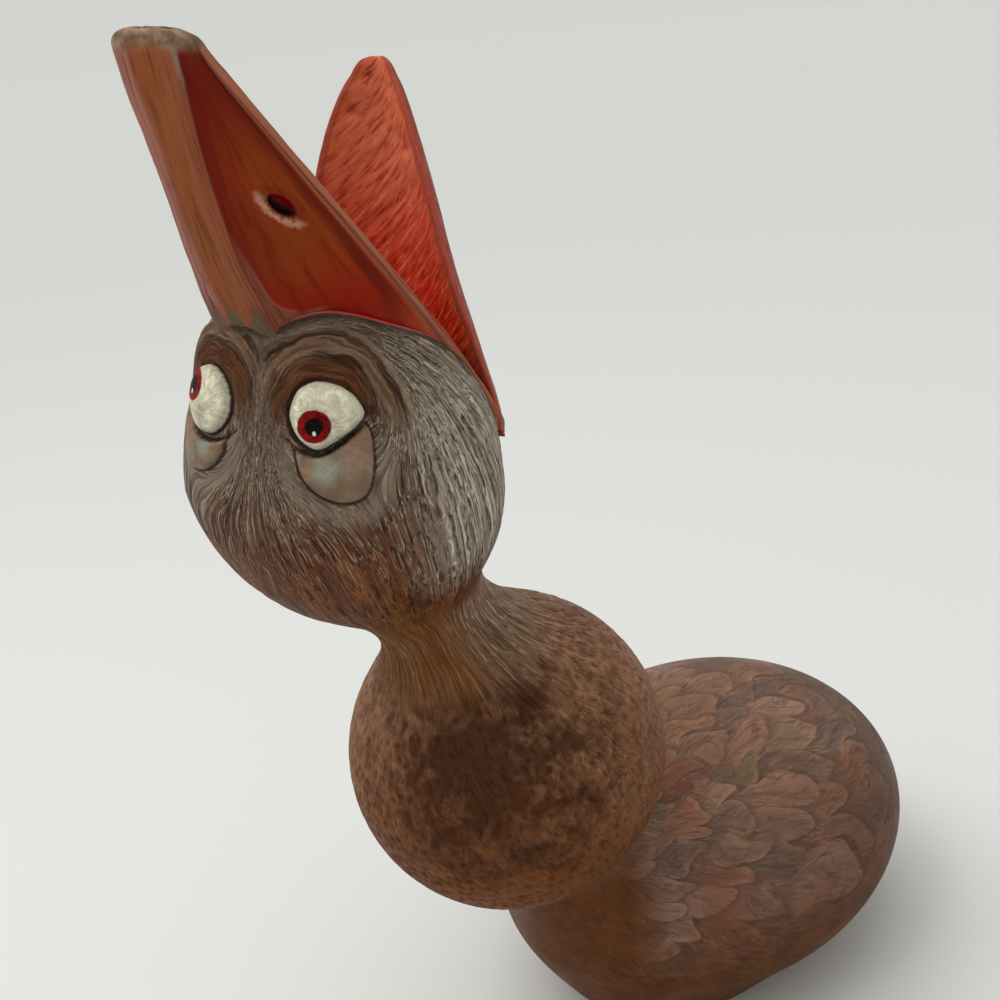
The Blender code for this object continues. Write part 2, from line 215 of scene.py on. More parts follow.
def folded(q):
    return np.stack([q[..., 0], np.abs(q[..., 1]), q[..., 2]], axis=-1)


def faced(q):
    """The same points seen from the face's own middle."""
    ahead = q[..., 0] * math.cos(FACE_TURN) + q[..., 1] * math.sin(FACE_TURN)
    aside = q[..., 1] * math.cos(FACE_TURN) - q[..., 0] * math.sin(FACE_TURN)
    return np.stack([ahead, aside, q[..., 2]], axis=-1)


# ---------------------------------------------------------------- carved form


def skull(q):
    """Signed distance to the head alone, from its centre."""
    below = np.minimum(q[..., 2:], 0.0)
    sheared = q - below * vec(CHIN_BACKSET, 0.0, 1.0 - 1.0 / CHIN_DROP)
    head = smooth_min(ellipsoid(sheared, (0.0, 0.0, 0.0), HEAD_HALF),
                      capsule(q, FOREHEAD_START, FOREHEAD_END, FOREHEAD_RADIUS), FOREHEAD_BLEND)
    head = smooth_min(head, capsule(folded(q), BROW_START, BROW_END, BROW_BULK), BROW_BLEND)
    return smooth_min(head, ellipsoid(q, CROWN_CENTRE, CROWN_HALF), BROW_BLEND)


def wood(p):
    """Signed distance to the plain figure without its beak."""
    d = smooth_min(ellipsoid(p, BODY_CENTRE, BODY_HALF), ellipsoid(p, BREAST_CENTRE, BREAST_HALF), BREAST_BLEND)
    d = smooth_min(d, capsule(p, WAIST_START, WAIST_END, WAIST_RADIUS), WAIST_BLEND)
    d = smooth_min(d, ellipsoid(p, CHEST_CENTRE, (CHEST_RADIUS,) * 3), CHEST_BLEND)
    d = smooth_max(d, -p[..., 2], UNDERSIDE_ROUNDING)
    d = smooth_min(d, capsule(p, CHEST_CENTRE, NECK_TOP, NECK_RADIUS), NECK_BLEND)
    return smooth_min(d, skull(p - vec(*HEAD_CENTRE)), NAPE_BLEND)


def gaping_wood(p):
    """The same with the throat hollowed out between the mandibles."""
    q = p - vec(*HEAD_CENTRE)
    return smooth_max(wood(p), -ellipsoid(q, GULLET_CENTRE, GULLET_HALF), GULLET_BLEND)


def surface(origins, ways, field=wood, start=1.0):
    """Points where rays from inside the wood leave it."""
    travel = np.full(len(origins), start)
    for _ in range(46):
        travel = np.maximum(travel - 0.8 * field(origins + travel[:, None] * ways), 0.0)
    return origins + travel[:, None] * ways


def outward(p, field=wood, reach=0.2):
    """Unit direction out of the wood at each point."""
    total = np.zeros_like(p)
    for corner in ((1, -1, -1), (-1, -1, 1), (-1, 1, -1), (1, 1, 1)):
        k = vec(*corner)
        total += field(p + reach * k)[:, None] * k
    return total / np.maximum(np.linalg.norm(total, axis=1, keepdims=True), 1e-9)


def posed(points):
    """Turns and tilts the head on its neck, easing in between chest and chin."""
    centre = vec(*HEAD_CENTRE)
    share = soft_step(points[:, 2], TURN_START, TURN_START + TURN_RUN)
    q = points - centre
    tilt = HEAD_TILT * share
    y = q[:, 1] * np.cos(tilt) + q[:, 2] * np.sin(tilt)
    z = -q[:, 1] * np.sin(tilt) + q[:, 2] * np.cos(tilt)
    turn = HEAD_TURN * share
    x2 = q[:, 0] * np.cos(turn) - y * np.sin(turn)
    y2 = q[:, 0] * np.sin(turn) + y * np.cos(turn)
    return np.stack([x2, y2, z], axis=1) + centre


# ---------------------------------------------------------------- chance


def lottery(cells, seed):
    """A repeatable number from 0 to 1 for each whole-number cell."""
    n = np.full(cells.shape[:-1], seed * 2654435761 % 2 ** 32, dtype=np.uint64)
    for k, prime in enumerate((374761393, 668265263, 2246822519)[:cells.shape[-1]]):
        whole = (cells[..., k].astype(np.int64) % 2 ** 20).astype(np.uint64)
        n = (n + whole * np.uint64(prime)) & np.uint64(0xFFFFFFFF)
        n = ((n ^ (n >> np.uint64(13))) * np.uint64(1274126177)) & np.uint64(0xFFFFFFFF)
    n ^= n >> np.uint64(16)
    return (n & np.uint64(0xFFFFF)).astype(float) / float(0xFFFFF)


def grain(p, seed):
    """Smooth noise from -1 to 1 with cells of size one."""
    low = np.floor(p)
    t = p - low
    t = t * t * (3.0 - 2.0 * t)
    total = np.zeros(len(p))
    for x in (0, 1):
        for y in (0, 1):
            for z in (0, 1):
                corner = lottery(low + vec(x, y, z), seed)
                share = ((t[:, 0] if x else 1 - t[:, 0]) * (t[:, 1] if y else 1 - t[:, 1])
                         * (t[:, 2] if z else 1 - t[:, 2]))
                total += corner * share
    return 2.0 * total - 1.0


# ---------------------------------------------------------------- face


def spline(padded, index, t):
    """Points on smooth spans between keys, which have one more key before and after."""
    a, b, c, d = (padded[index + k] for k in range(4))
    return 0.5 * (2 * b + (c - a) * t + (2 * a - 5 * b + 4 * c - d) * t ** 2 + (3 * b - a - 3 * c + d) * t ** 3)


def extended(keys):
    """The keys with one more at each end, straight on."""
    return np.vstack([2 * keys[0] - keys[1], keys, 2 * keys[-1] - keys[-2]])


def curve_through(keys, closed=False, each=6):
    """Points of a smooth line through the keys."""
    keys = np.array(keys, dtype=float)
    if closed:
        padded = np.vstack([keys[-1], keys, keys[0], keys[1]])
        spans = len(keys)
    else:
        padded = extended(keys)
        spans = len(keys) - 1
    where = np.arange(spans * each + (0 if closed else 1)) / each
    index = np.minimum(where.astype(int), spans - 1)
    return spline(padded, index, (where - index)[:, None])


def line_distance(points, line):
    """Distance from each point to an open line."""
    best = np.full(len(points), 1e9)
    for start, end in zip(line[:-1], line[1:]):
        run = end - start
        t = np.clip((points - start) @ run / max(run @ run, 1e-9), 0.0, 1.0)
        best = np.minimum(best, np.linalg.norm(points - start - t[:, None] * run, axis=1))
    return best


def outline_distance(points, outline):
    """Distance from each flat point to a closed outline, negative inside."""
    ring = np.vstack([outline, outline[:1]])
    inside = np.zeros(len(points), bool)
    for start, end in zip(ring[:-1], ring[1:]):
        across = (start[1] > points[:, 1]) != (end[1] > points[:, 1])
        slope = (end[0] - start[0]) / (end[1] - start[1]) if end[1] != start[1] else 0.0
        inside ^= across & (points[:, 0] < start[0] + slope * (points[:, 1] - start[1]))
    distance = line_distance(points, ring)
    return np.where(inside, -distance, distance)


def face_measures(q):
    """Places on the face for each point of the head: eye plane, outlines and beak border."""
    eye = direction(EYE_AZIMUTH, EYE_ELEVATION)
    out = vec(-math.sin(EYE_AZIMUTH), math.cos(EYE_AZIMUTH), 0.0)
    up = np.cross(eye, out)
    near = folded(faced(q))
    on_left = soft_step(faced(q)[:, 1], -4.0, 4.0)[:, None]
    place = np.stack([near @ out, near @ up], axis=1)
    place = place - vec(*SHIFT_NEAR) * on_left - vec(*SHIFT_FAR) * (1.0 - on_left)
    facing = soft_step(near @ eye, 14.0, 20.0)
    close = (facing > 0.0) & (np.abs(place) < FACE_REACH).all(axis=1)
    shrink = np.where((faced(q)[:, 1] < 0.0) & (place[:, 1] < 0.0), FAR_EYE_STRETCH, 1.0)
    place = place * np.stack([np.ones(len(q)), shrink], axis=1)
    measures = {"place": place, "facing": facing}
    for name in ("ball", "pouch", "lid", "rim"):
        measures[name] = np.full(len(q), FAR)
    pouch = curve_through(POUCH_LINE)
    left = faced(q)[:, 1] >= 0.0
    for here, ball_keys, lid_keys in ((close & left, EYEBALL, LID_LINE), (close & ~left, EYEBALL_FAR, LID_FAR)):
        lid = curve_through(lid_keys)
        bag = np.vstack([pouch, lid[(lid[:, 0] < 8.0) & (lid[:, 0] > -6.0)][::-1]])
        ball = curve_through(ball_keys, closed=True)
        for name, gap, line in (("ball", outline_distance, ball), ("pouch", outline_distance, bag),
                                ("lid", line_distance, lid), ("rim", line_distance, pouch)):
            measures[name][here] = np.minimum(gap(place[here], line), FAR)
    border = curve_through(BEAK_BORDER)
    around = np.full(len(q), FAR)
    upper = q[:, 2] > -10.0
    around[upper] = np.minimum(line_distance(folded(q[upper]), border), FAR)
    bearing, polar = beak_angles(folded(q))
    border_bearing, border_polar = beak_angles(border)
    order = np.argsort(border_bearing)
    over = polar - np.interp(bearing, border_bearing[order], border_polar[order])
    beyond = soft_step(bearing, border_bearing.max() - 0.1, border_bearing.max())
    measures["border"] = np.clip(over * BORDER_REACH, -6.0, FAR) * (1.0 - beyond) + around * beyond
    return measures


def beak_angles(q):
    """For points of the head, bearing about the beak's line from the front and angle away from that line."""
    line = direction(0.0, BEAK_LINE)
    front = direction(0.0, BEAK_LINE - math.pi / 2)
    along = q @ line
    return np.arctan2(q[:, 1], q @ front), np.arccos(np.clip(along / np.linalg.norm(q, axis=1), -1.0, 1.0))


def face_relief(m):
    """Height of eyeballs, lids, pouches and brows over the plain head."""
    a, b = m["place"][:, 0], m["place"][:, 1]
    r = np.hypot(a, b)
    t = np.clip(-m["ball"] / 6.3, 0.0, 1.0)
    ball = (0.55 + EYE_BULGE * np.sqrt(1.0 - (1.0 - t) ** 2)) * soft_step(-m["ball"], -0.15, 0.3)
    t = np.clip(-m["pouch"] / 6.0, 0.0, 1.0)
    bag = (0.15 + POUCH_BULGE * np.sqrt(1.0 - (1.0 - t) ** 2)) * soft_step(-m["pouch"], 0.0, 0.5)
    above = soft_step(b, -3.5, 3.5) * soft_step(-m["border"], -3.0, -0.8)
    outside = soft_step(m["ball"], 0.2, 1.0)
    bearing = np.arctan2(b, a)
    lines = grain(np.stack([r / 1.25 + 0.5 * np.sin(3.0 * bearing), bearing * 1.6, np.zeros(len(r))], axis=1), 41)
    brow = above * (1.0 * hump(r, 12.4, 3.2) + 0.35 * hump(r, 16.2, 1.1) - 0.4 * hump(r, 10.4, 0.5)
                    + 0.3 * lines * soft_step(r, 7.5, 9.5) * soft_step(-r, -18.0, -16.0))
    grooves = (0.4 * hump(m["ball"], 0.35, 0.35) + 0.4 * hump(m["lid"], 0.0, 0.5)
               + 0.28 * hump(m["rim"], 0.0, 0.35))
    under_lid = 0.35 * hump(m["lid"], 1.3, 0.6) * soft_step(-b, -1.0, 3.0)
    seam = 0.3 * hump(m["border"], -0.2, 0.5)
    raised = ball + bag + (brow + under_lid) * outside - grooves * soft_step(m["ball"], -0.3, 0.2)
    return seam + m["facing"] * raised


def feather_flow(p):
    """Place of each point of the body along and across lines from the chest to the tail."""
    unit = (p - vec(*BODY_CENTRE)) / vec(*BODY_HALF)
    unit /= np.maximum(np.linalg.norm(unit, axis=1, keepdims=True), 1e-9)

    def flat(v):
        return (v[..., 0] + 1j * v[..., 1]) / (1.0 + v[..., 2] + 1e-3)

    source, sink = flat(direction(*FEATHER_SOURCE)), flat(direction(*FEATHER_SINK))
    w = flat(unit)
    zeta = np.log(w - source + 1e-6) - np.log(w - sink + 1e-6)
    return BODY_FLOW_RADIUS * np.stack([np.cos(zeta.imag), np.sin(zeta.imag), zeta.real], axis=1)


def hair_flow(q):
    """Place of each point along and across the brushed hair, wrapped round a cylinder."""
    unit = faced(q) / np.maximum(np.linalg.norm(q, axis=1, keepdims=True), 1e-9)

    def flat(v):
        return (v[..., 1] + 1j * v[..., 2]) / (1.0 + v[..., 0] + 1e-6)

    source = flat(direction(*HAIR_SOURCE))
    sink = flat(direction(*HAIR_SINK))

    def flow(v):
        w = flat(v)
        return np.log(w - source + 1e-9) - np.log(w - sink + 1e-9)

    zeta = flow(unit)
    bent = zeta.copy()
    for side in (1.0, -1.0):
        eye = direction(EYE_AZIMUTH, EYE_ELEVATION) * vec(1.0, side, 1.0)
        away = zeta - flow(eye)
        away = away.real + 1j * ((away.imag + math.pi) % (2.0 * math.pi) - math.pi)
        size = np.maximum(np.abs(away), 1e-6)
        away = away * np.maximum(1.0, 0.8 * HAIR_ROUND_EYE / size)
        bent = bent + HAIR_ROUND_EYE ** 2 * 0.5 / np.tanh(0.5 * away)
    return FLOW_RADIUS * np.stack([np.cos(bent.imag), np.sin(bent.imag), bent.real], axis=1)


def hair_relief(flow):
    """Fine grooves along the hair, from -1 in a groove to 0 between."""
    wander = 0.9 * grain(flow / vec(9.0, 9.0, 14.0), 3)[:, None] * vec(1.0, 1.0, 0.0)
    first = grain((flow + wander) / vec(1.7, 1.7, 24.0), 5)
    second = grain((flow + wander) / vec(2.9, 2.9, 36.0), 7)
    return -np.clip(hump(first, 0.0, 0.16) * 0.8 + hump(second, 0.0, 0.1) * 0.5, 0.0, 1.0)


# ---------------------------------------------------------------- chest ball


def gouges(p):
    """Rows of oval gouge cuts round the chest ball: depth from 0 to 1, and each cut's own number."""
    q = p - vec(*CHEST_CENTRE)
    axis = vec(*NECK_TOP) - vec(*CHEST_CENTRE)
    axis /= np.linalg.norm(axis)
    side = vec(0.0, 1.0, 0.0)
    ahead = np.cross(side, axis)
    reach = np.maximum(np.linalg.norm(q, axis=1), 1e-6)
    polar = np.arccos(np.clip(q @ axis / reach, -1.0, 1.0))
    turn = np.arctan2(q @ side, q @ ahead)
    length, width = 3.0, 2.5
    row = polar * CHEST_RADIUS / length
    depth = np.zeros(len(p))
    tone = np.zeros(len(p))
    for step in (-1, 0, 1):
        r = np.floor(row) + step
        middle = (r + 0.5) * length / CHEST_RADIUS
        count = np.maximum(np.round(2.0 * math.pi * CHEST_RADIUS * np.sin(np.clip(middle, 0.05, 3.09)) / width), 6.0)
        column = turn / (2.0 * math.pi) * count + 0.5 * (r % 2.0)
        for shift in (-1, 0, 1):
            c = np.floor(column) + shift
            cell = np.stack([c % count, r], axis=1)
            x = (column - c - 0.5 - 0.5 * (lottery(cell, 11) - 0.5)) * 2.0
            y = (row - r - 0.5 - 0.6 * (lottery(cell, 12) - 0.5)) * 2.0
            lean = 0.5 * (lottery(cell, 13) - 0.5)
            size = 0.75 + 0.5 * lottery(cell, 14)
            away = np.sqrt(((x - lean * y) / 0.95) ** 2 + (y / 1.05) ** 2) / size
            cut = soft_step(-away, -1.05, -0.25) * (0.4 + 0.6 * lottery(cell, 15))
            tone = np.where(cut > depth, lottery(cell, 16), tone)
            depth = np.maximum(depth, cut)
    return depth, tone


# ---------------------------------------------------------------- skins

SPINE = ((-66.5, 37.0, 0.0), (-60.0, 37.0, 0.0), (-50.0, 37.0, 0.0), (-30.0, 36.0, 0.0),
         (0.0, 36.0, 0.0), (25.0, 37.0, 0.0), (40.0, 38.0, 0.0), (53.0, 39.7, 15.0),
         (65.0, 44.7, 30.0), (74.0, 54.0, 45.0), (75.6, 65.7, 58.0), (76.5, 76.0, 64.0),
         (80.0, 90.0, 64.0), (86.6, 102.8, 63.4), (96.0, 121.7, 63.4), (102.5, 134.8, 63.4),
         (108.5, 147.0, 66.0), (114.0, 158.0, 72.0), (121.0, 172.0, 86.0), (126.0, 182.0, 97.0),
         (129.0, 192.0, 107.0), (130.0, 201.0, 115.5), (130.0, 208.2, 122.4), (124.1, 217.5, 122.4))
BODY_COUNTS = (16, 12, 16, 22, 19, 12, 16, 16, 18, 16, 14, 22, 24, 36, 30, 22)
HEAD_COUNTS = (24, 32, 34, 38, 44, 44, 40)
SEAM = 16
BODY_ROUND = 300
HEAD_ROUND = 330
CAP_RINGS = 34
SEAM_TUCKS = (0.02, 0.1, 0.4)
SEAM_STEPS = np.array([[0.05], [0.1], [0.16]])
BODY_CROWDING = 0.22
HEAD_CROWDING = 0.42
CAP_DROP = 15.0
CAP_START = 1.5


def ring_stations(first, counts):
    """Middle and lean of each ring along the spine, from one key to the last counted."""
    out = []
    for k, count in enumerate(counts):
        a, b = np.array(SPINE[first + k]), np.array(SPINE[first + k + 1])
        count = max(2, int(count * FINENESS))
        out += [a + (b - a) * i / count for i in range(count)]
    out.append(np.array(SPINE[first + len(counts)]))
    return np.array(out)


def ring_hits(rings, around, crowding):
    """Where each ring's rays leave the wood, ring by ring. Crowding draws the rays together in front."""
    u = np.arange(around) * 2.0 * math.pi / around
    angle = u + crowding * np.sin(u)
    lean = np.radians(rings[:, 2])
    back = np.stack([-np.sin(lean), np.zeros(len(lean)), np.cos(lean)], axis=1)
    centre = np.stack([rings[:, 0], np.zeros(len(lean)), rings[:, 1]], axis=1)
    ways = (np.cos(angle)[None, :, None] * back[:, None, :] + np.sin(angle)[None, :, None] * vec(0.0, 1.0, 0.0))
    hits = surface(np.repeat(centre, around, axis=0), ways.reshape(-1, 3))
    return hits.reshape(len(rings), around, 3), centre, back, angle


def ring_flow(hits, angle, from_end):
    """Place round and along the rings, wrapped round a cylinder; along is zero at the seam on the neck."""
    steps = np.linalg.norm(np.diff(hits, axis=0), axis=2)
    along = np.vstack([np.zeros((1, hits.shape[1])), np.cumsum(steps, axis=0)])
    along = along - along[-1] if from_end else along
    round_ = np.broadcast_to(angle, along.shape)
    return np.stack([FLOW_RADIUS * np.cos(round_), FLOW_RADIUS * np.sin(round_), -along], axis=2)


def grid_faces(rows, around):
    faces = []
    for i in range(rows - 1):
        for j in range(around):
            k = (j + 1) % around
            faces.append((i * around + j, i * around + k, (i + 1) * around + k, (i + 1) * around + j))
    return faces


def closing(faces, point, ring_start, around, flip):
    for j in range(around):
        a, b = ring_start + j, ring_start + (j + 1) % around
        faces.append((point, b, a) if flip else (point, a, b))


def placed_object(name, data):
    obj = bpy.data.objects.new(name, data)
    bpy.context.scene.collection.objects.link(obj)
    return obj


def piece(name, verts, faces, attributes):
    """Mesh object from (forward, left, up) millimetres, kept inside the CAD box."""
    placed = np.stack([verts[:, 1], -verts[:, 0], verts[:, 2]], axis=1) * MM
    placed = np.clip(placed, np.array(CAD_LOW), np.array(CAD_HIGH))
    mesh = bpy.data.meshes.new(name)
    mesh.from_pydata(placed.tolist(), [], faces)
    mesh.update()
    for key, values in attributes.items():
        values = np.asarray(values, dtype=np.float32)
        kind = "FLOAT" if values.ndim == 1 else "FLOAT_VECTOR"
        field = "value" if values.ndim == 1 else "vector"
        mesh.attributes.new(key, kind, "POINT").data.foreach_set(field, values.ravel())
    bm = bmesh.new()
    bm.from_mesh(mesh)
    bmesh.ops.recalc_face_normals(bm, faces=bm.faces)
    if bm.calc_volume(signed=True) < 0.0:
        bmesh.ops.reverse_faces(bm, faces=bm.faces)
    bm.to_mesh(mesh)
    bm.free()
    mesh.shade_smooth()
    return placed_object(name, mesh)


def finished(points, flow):
    """Carves the relief into plain points. Returns the points and the attributes for the paint."""
    q = points - vec(*HEAD_CENTRE)
    m = face_measures(q)
    hair = hair_flow(q)
    head_share = soft_step(-skull(q), -7.0, -1.0) * soft_step(points[:, 2], 146.0, 160.0)
    ball_share = soft_step(-(np.linalg.norm(points - vec(*CHEST_CENTRE), axis=1) - CHEST_RADIUS), -5.0, -0.8)
    on_body = soft_step(-points[:, 2], -124.0, -112.0)
    depth, tone = gouges(points)
    side = np.sign(faced(q)[:, 1] + 1e-9)
    calm = soft_step(m["ball"], 0.8, 2.4) * soft_step(m["pouch"], 0.3, 1.4)
    calm = 1.0 - m["facing"] * (1.0 - calm)
    hairs = hair_relief(hair)
    neck_hairs = hair_relief(flow * vec(1.0, 1.0, 1.4))
    neck_share = (1.0 - head_share) * (1.0 - ball_share) * (1.0 - on_body) * soft_step(points[:, 2], 120.0, 130.0)
    rim = soft_step(m["border"], 0.4, 1.6)
    height = (head_share * (face_relief(m) + 0.24 * hairs * calm * rim)
              + 0.2 * neck_hairs * neck_share - 0.5 * depth * ball_share * (1.0 - head_share))
    carving = head_share * hairs * calm + neck_share * neck_hairs - depth * ball_share
    attributes = {
        "hair_flow": hair,
        "ring_flow": flow,
        "feather_flow": feather_flow(points),
        "eye_place": np.column_stack([m["place"], side]),
        "eye_lines": np.column_stack([m["ball"], m["pouch"], m["lid"]]),
        "rim_lines": np.column_stack([m["rim"], m["border"], m["facing"]]),
        "zones": np.column_stack([head_share, ball_share, on_body]),
        "gouge": np.column_stack([depth, tone, np.zeros(len(tone))]),
        "carving": carving,
        "throat": soft_step(-wood(points), 0.4, 1.2),
    }
    return points + height[:, None] * outward(points), attributes


def tucked(verts, ring_numbers, centre, around):
    """Draws the given rings in by a little more each, so that they end under the neighbouring piece."""
    out = verts.copy()
    for ring, depth in zip(ring_numbers, SEAM_TUCKS):
        rows = slice(ring * around, (ring + 1) * around)
        inward = centre[ring] - verts[rows]
        out[rows] += inward / np.linalg.norm(inward, axis=1, keepdims=True) * depth
    return out


def body_piece():
    """Body, chest and lower neck. Its last rings end just under the skin of the head piece."""
    seam = np.array(SPINE[SEAM])
    step = (np.array(SPINE[SEAM + 1]) - seam) * SEAM_STEPS
    rings = np.vstack([ring_stations(0, BODY_COUNTS), seam + step])
    around = int(BODY_ROUND * FINENESS)
    hits, centre, _, angle = ring_hits(rings, around, BODY_CROWDING)
    flow = ring_flow(hits, angle, from_end=True)
    flow = flow - flow[-4:-3] * vec(0.0, 0.0, 1.0)
    tail_start = vec(BODY_CENTRE[0], 0.0, BODY_CENTRE[2] * 0.98)
    tail = surface(tail_start[None, :], vec(-1.0, 0.0, 0.0)[None, :])
    points = np.vstack([hits.reshape(-1, 3), tail])
    flows = np.vstack([flow.reshape(-1, 3), flow[0].mean(axis=0)[None, :]])
    verts, attributes = finished(points, flows)
    verts = tucked(verts, np.arange(len(rings) - 3, len(rings)), centre, around)
    verts = np.vstack([verts, centre[-1][None, :]])
    attributes = {k: np.concatenate([v, v[-1:]]) for k, v in attributes.items()}
    faces = grid_faces(len(rings), around)
    closing(faces, len(points) - 1, 0, around, True)
    closing(faces, len(points), (len(rings) - 1) * around, around, False)
    return piece("body_and_chest", posed(verts), faces, attributes)


def head_piece():
    """Head and upper neck. Its first rings lie just under the skin of the body piece."""
    seam = np.array(SPINE[SEAM])
    step = (np.array(SPINE[SEAM - 1]) - seam) * SEAM_STEPS[::-1]
    rings = np.vstack([seam + step, ring_stations(SEAM, HEAD_COUNTS)])
    around = int(HEAD_ROUND * FINENESS)
    hits, centre, back, angle = ring_hits(rings, around, HEAD_CROWDING)
    flow = ring_flow(hits, angle, from_end=False)
    flow = flow - flow[3:4] * vec(0.0, 0.0, 1.0)
    last = back[-1]
    rise = vec(-last[2], 0.0, last[0])
    rise = rise if rise[2] > 0.0 else -rise
    caps = []
    for share in np.linspace(0.97, 0.04, max(8, int(CAP_RINGS * FINENESS))):
        below = centre[-1] + share * (hits[-1] - centre[-1]) - (CAP_DROP * (1.0 - share) + CAP_START) * rise
        caps.append(surface(below, np.repeat(rise[None, :], around, axis=0), gaping_wood, start=0.2))
    crown = surface((centre[-1] - (CAP_DROP + CAP_START) * rise)[None, :], rise[None, :], gaping_wood)
    everything = np.vstack([hits.reshape(-1, 3)] + caps + [crown])
    flows = np.vstack([flow.reshape(-1, 3)] + [flow[-1]] * len(caps) + [flow[-1][:1]])
    verts, attributes = finished(everything, flows)
    verts = tucked(verts, np.array([2, 1, 0]), centre, around)
    verts = np.vstack([verts, centre[0][None, :]])
    attributes = {k: np.concatenate([v, v[-1:]]) for k, v in attributes.items()}
    rows = len(rings) + len(caps)
    faces = grid_faces(rows, around)
    closing(faces, rows * around, (rows - 1) * around, around, False)
    closing(faces, rows * around + 1, 0, around, True)
    return piece("head", posed(verts), faces, attributes)


# ---------------------------------------------------------------- beak


TIP_SHARE = 0.06
TIP_REACH = 1.1
TIP_CROWDING = 1.35
PART_WIDTH = 2.4
BEAK_RUN = 95.0
UPPER_MESH = (210, 130)
LOWER_MESH = (190, 110)


def crowded(count):
    """Numbers from 0 to 1, closer together towards 1."""
    return 1.0 - np.linspace(1.0, 0.0, count) ** TIP_CROWDING


def even_curve(keys, count):
    """Points of a smooth curve through the keys, closer together towards its end."""
    keys = np.array(keys, dtype=float)
    if keys.ndim == 1:
        keys = keys[:, None]
    where = (len(keys) - 1.0) * crowded(count)
    index = np.minimum(where.astype(int), len(keys) - 2)
    return spline(extended(keys), index, (where - index)[:, None])


def softened(points, rounds=2):
    """Cuts the corners of an open line, ends kept, so that edges come out rounded."""
    for _ in range(rounds):
        first = 0.75 * points[:-1] + 0.25 * points[1:]
        second = 0.25 * points[:-1] + 0.75 * points[1:]
        middle = np.stack([first, second], axis=1).reshape(-1, points.shape[1])
        points = np.vstack([points[:1], middle[1:-1], points[-1:]])
    return points


def upper_half(ridge, half, edge, recessed):
    """Half a section of the upper mandible, its panel recessed by a share. The last column numbers its parts."""
    front = vec(ridge[0], 0.0, ridge[1])
    drop = vec(edge[0], 0.0, edge[2]) - front
    deep = np.linalg.norm(drop)
    wide = edge[1]
    run = vec(deep, wide - half)
    slope = np.linalg.norm(run)
    inward = vec(run[1], -run[0]) / slope
    recess = min(PANEL_RECESS, 0.12 * deep) * recessed
    lip = min(RIM_THICKNESS, 0.35 * deep, 0.3 * wide)
    shoulder = vec(0.0, half)
    rim = vec(deep, wide)
    points = [vec(-0.5, 0.0), vec(-0.35, 0.6 * half), shoulder]
    fall = min(1.6, 0.12 * slope) / slope
    for share, depth in ((fall, 0.5), (2.2 * fall, 1.0), (0.45, 1.15), (0.72, 1.0), (1.0 - 1.3 * lip / slope, 0.5)):
        points.append(shoulder + share * run + inward * recess * depth)
    points += [rim, rim + inward * lip]
    for share in (0.2, 0.42, 0.64):
        points.append(rim - share * run + inward * (lip + recess + PALATE_WALL * deep * share))
    points.append(vec(max(PALATE_ROOF * deep, min(3.0, 0.6 * deep)), 0.0))
    flat = np.array(points)
    placed = front + flat[:, :1] * (drop / deep) + flat[:, 1:] * vec(0.0, 1.0, 0.0)
    return np.column_stack([placed, np.arange(len(placed))])


def lower_half(edge, trough, back):
    """Half a section of the lower mandible: hollow face, rounded rim and swelling back."""
    rim = vec(*edge)
    hollow = vec(trough[0], 0.0, trough[1])
    outer = vec(back[0], 0.0, back[1])
    lip = min(1.6, 0.35 * rim[1])
    inner = rim + vec(-0.4, -lip, 0.0)
    points = [hollow]
    for share in (0.35, 0.7, 0.9):
        points.append(vec(hollow[0] + (inner[0] - hollow[0]) * share ** 2, inner[1] * share,
                          hollow[2] + (inner[2] - hollow[2]) * share ** 2))
    points += [inner, rim]
    for share in (0.25, 0.5, 0.75):
        turn = share * math.pi / 2
        points.append(vec(rim[0] + (outer[0] - rim[0]) * math.sin(turn), rim[1] * math.cos(turn),
                          rim[2] + (outer[2] - rim[2]) * math.sin(turn)))
    points.append(outer)
    placed = np.array(points)
    return np.column_stack([placed, np.arange(len(placed))])


def even_half(half, count):
    """The softened half section again with evenly spaced points."""
    line = softened(half, 3)
    steps = np.linalg.norm(np.diff(line[:, :3], axis=0), axis=1)
    along = np.concatenate([[0.0], np.cumsum(steps)])
    where = np.linspace(0.0, along[-1], count)
    return np.column_stack([np.interp(where, along, line[:, k]) for k in range(4)])


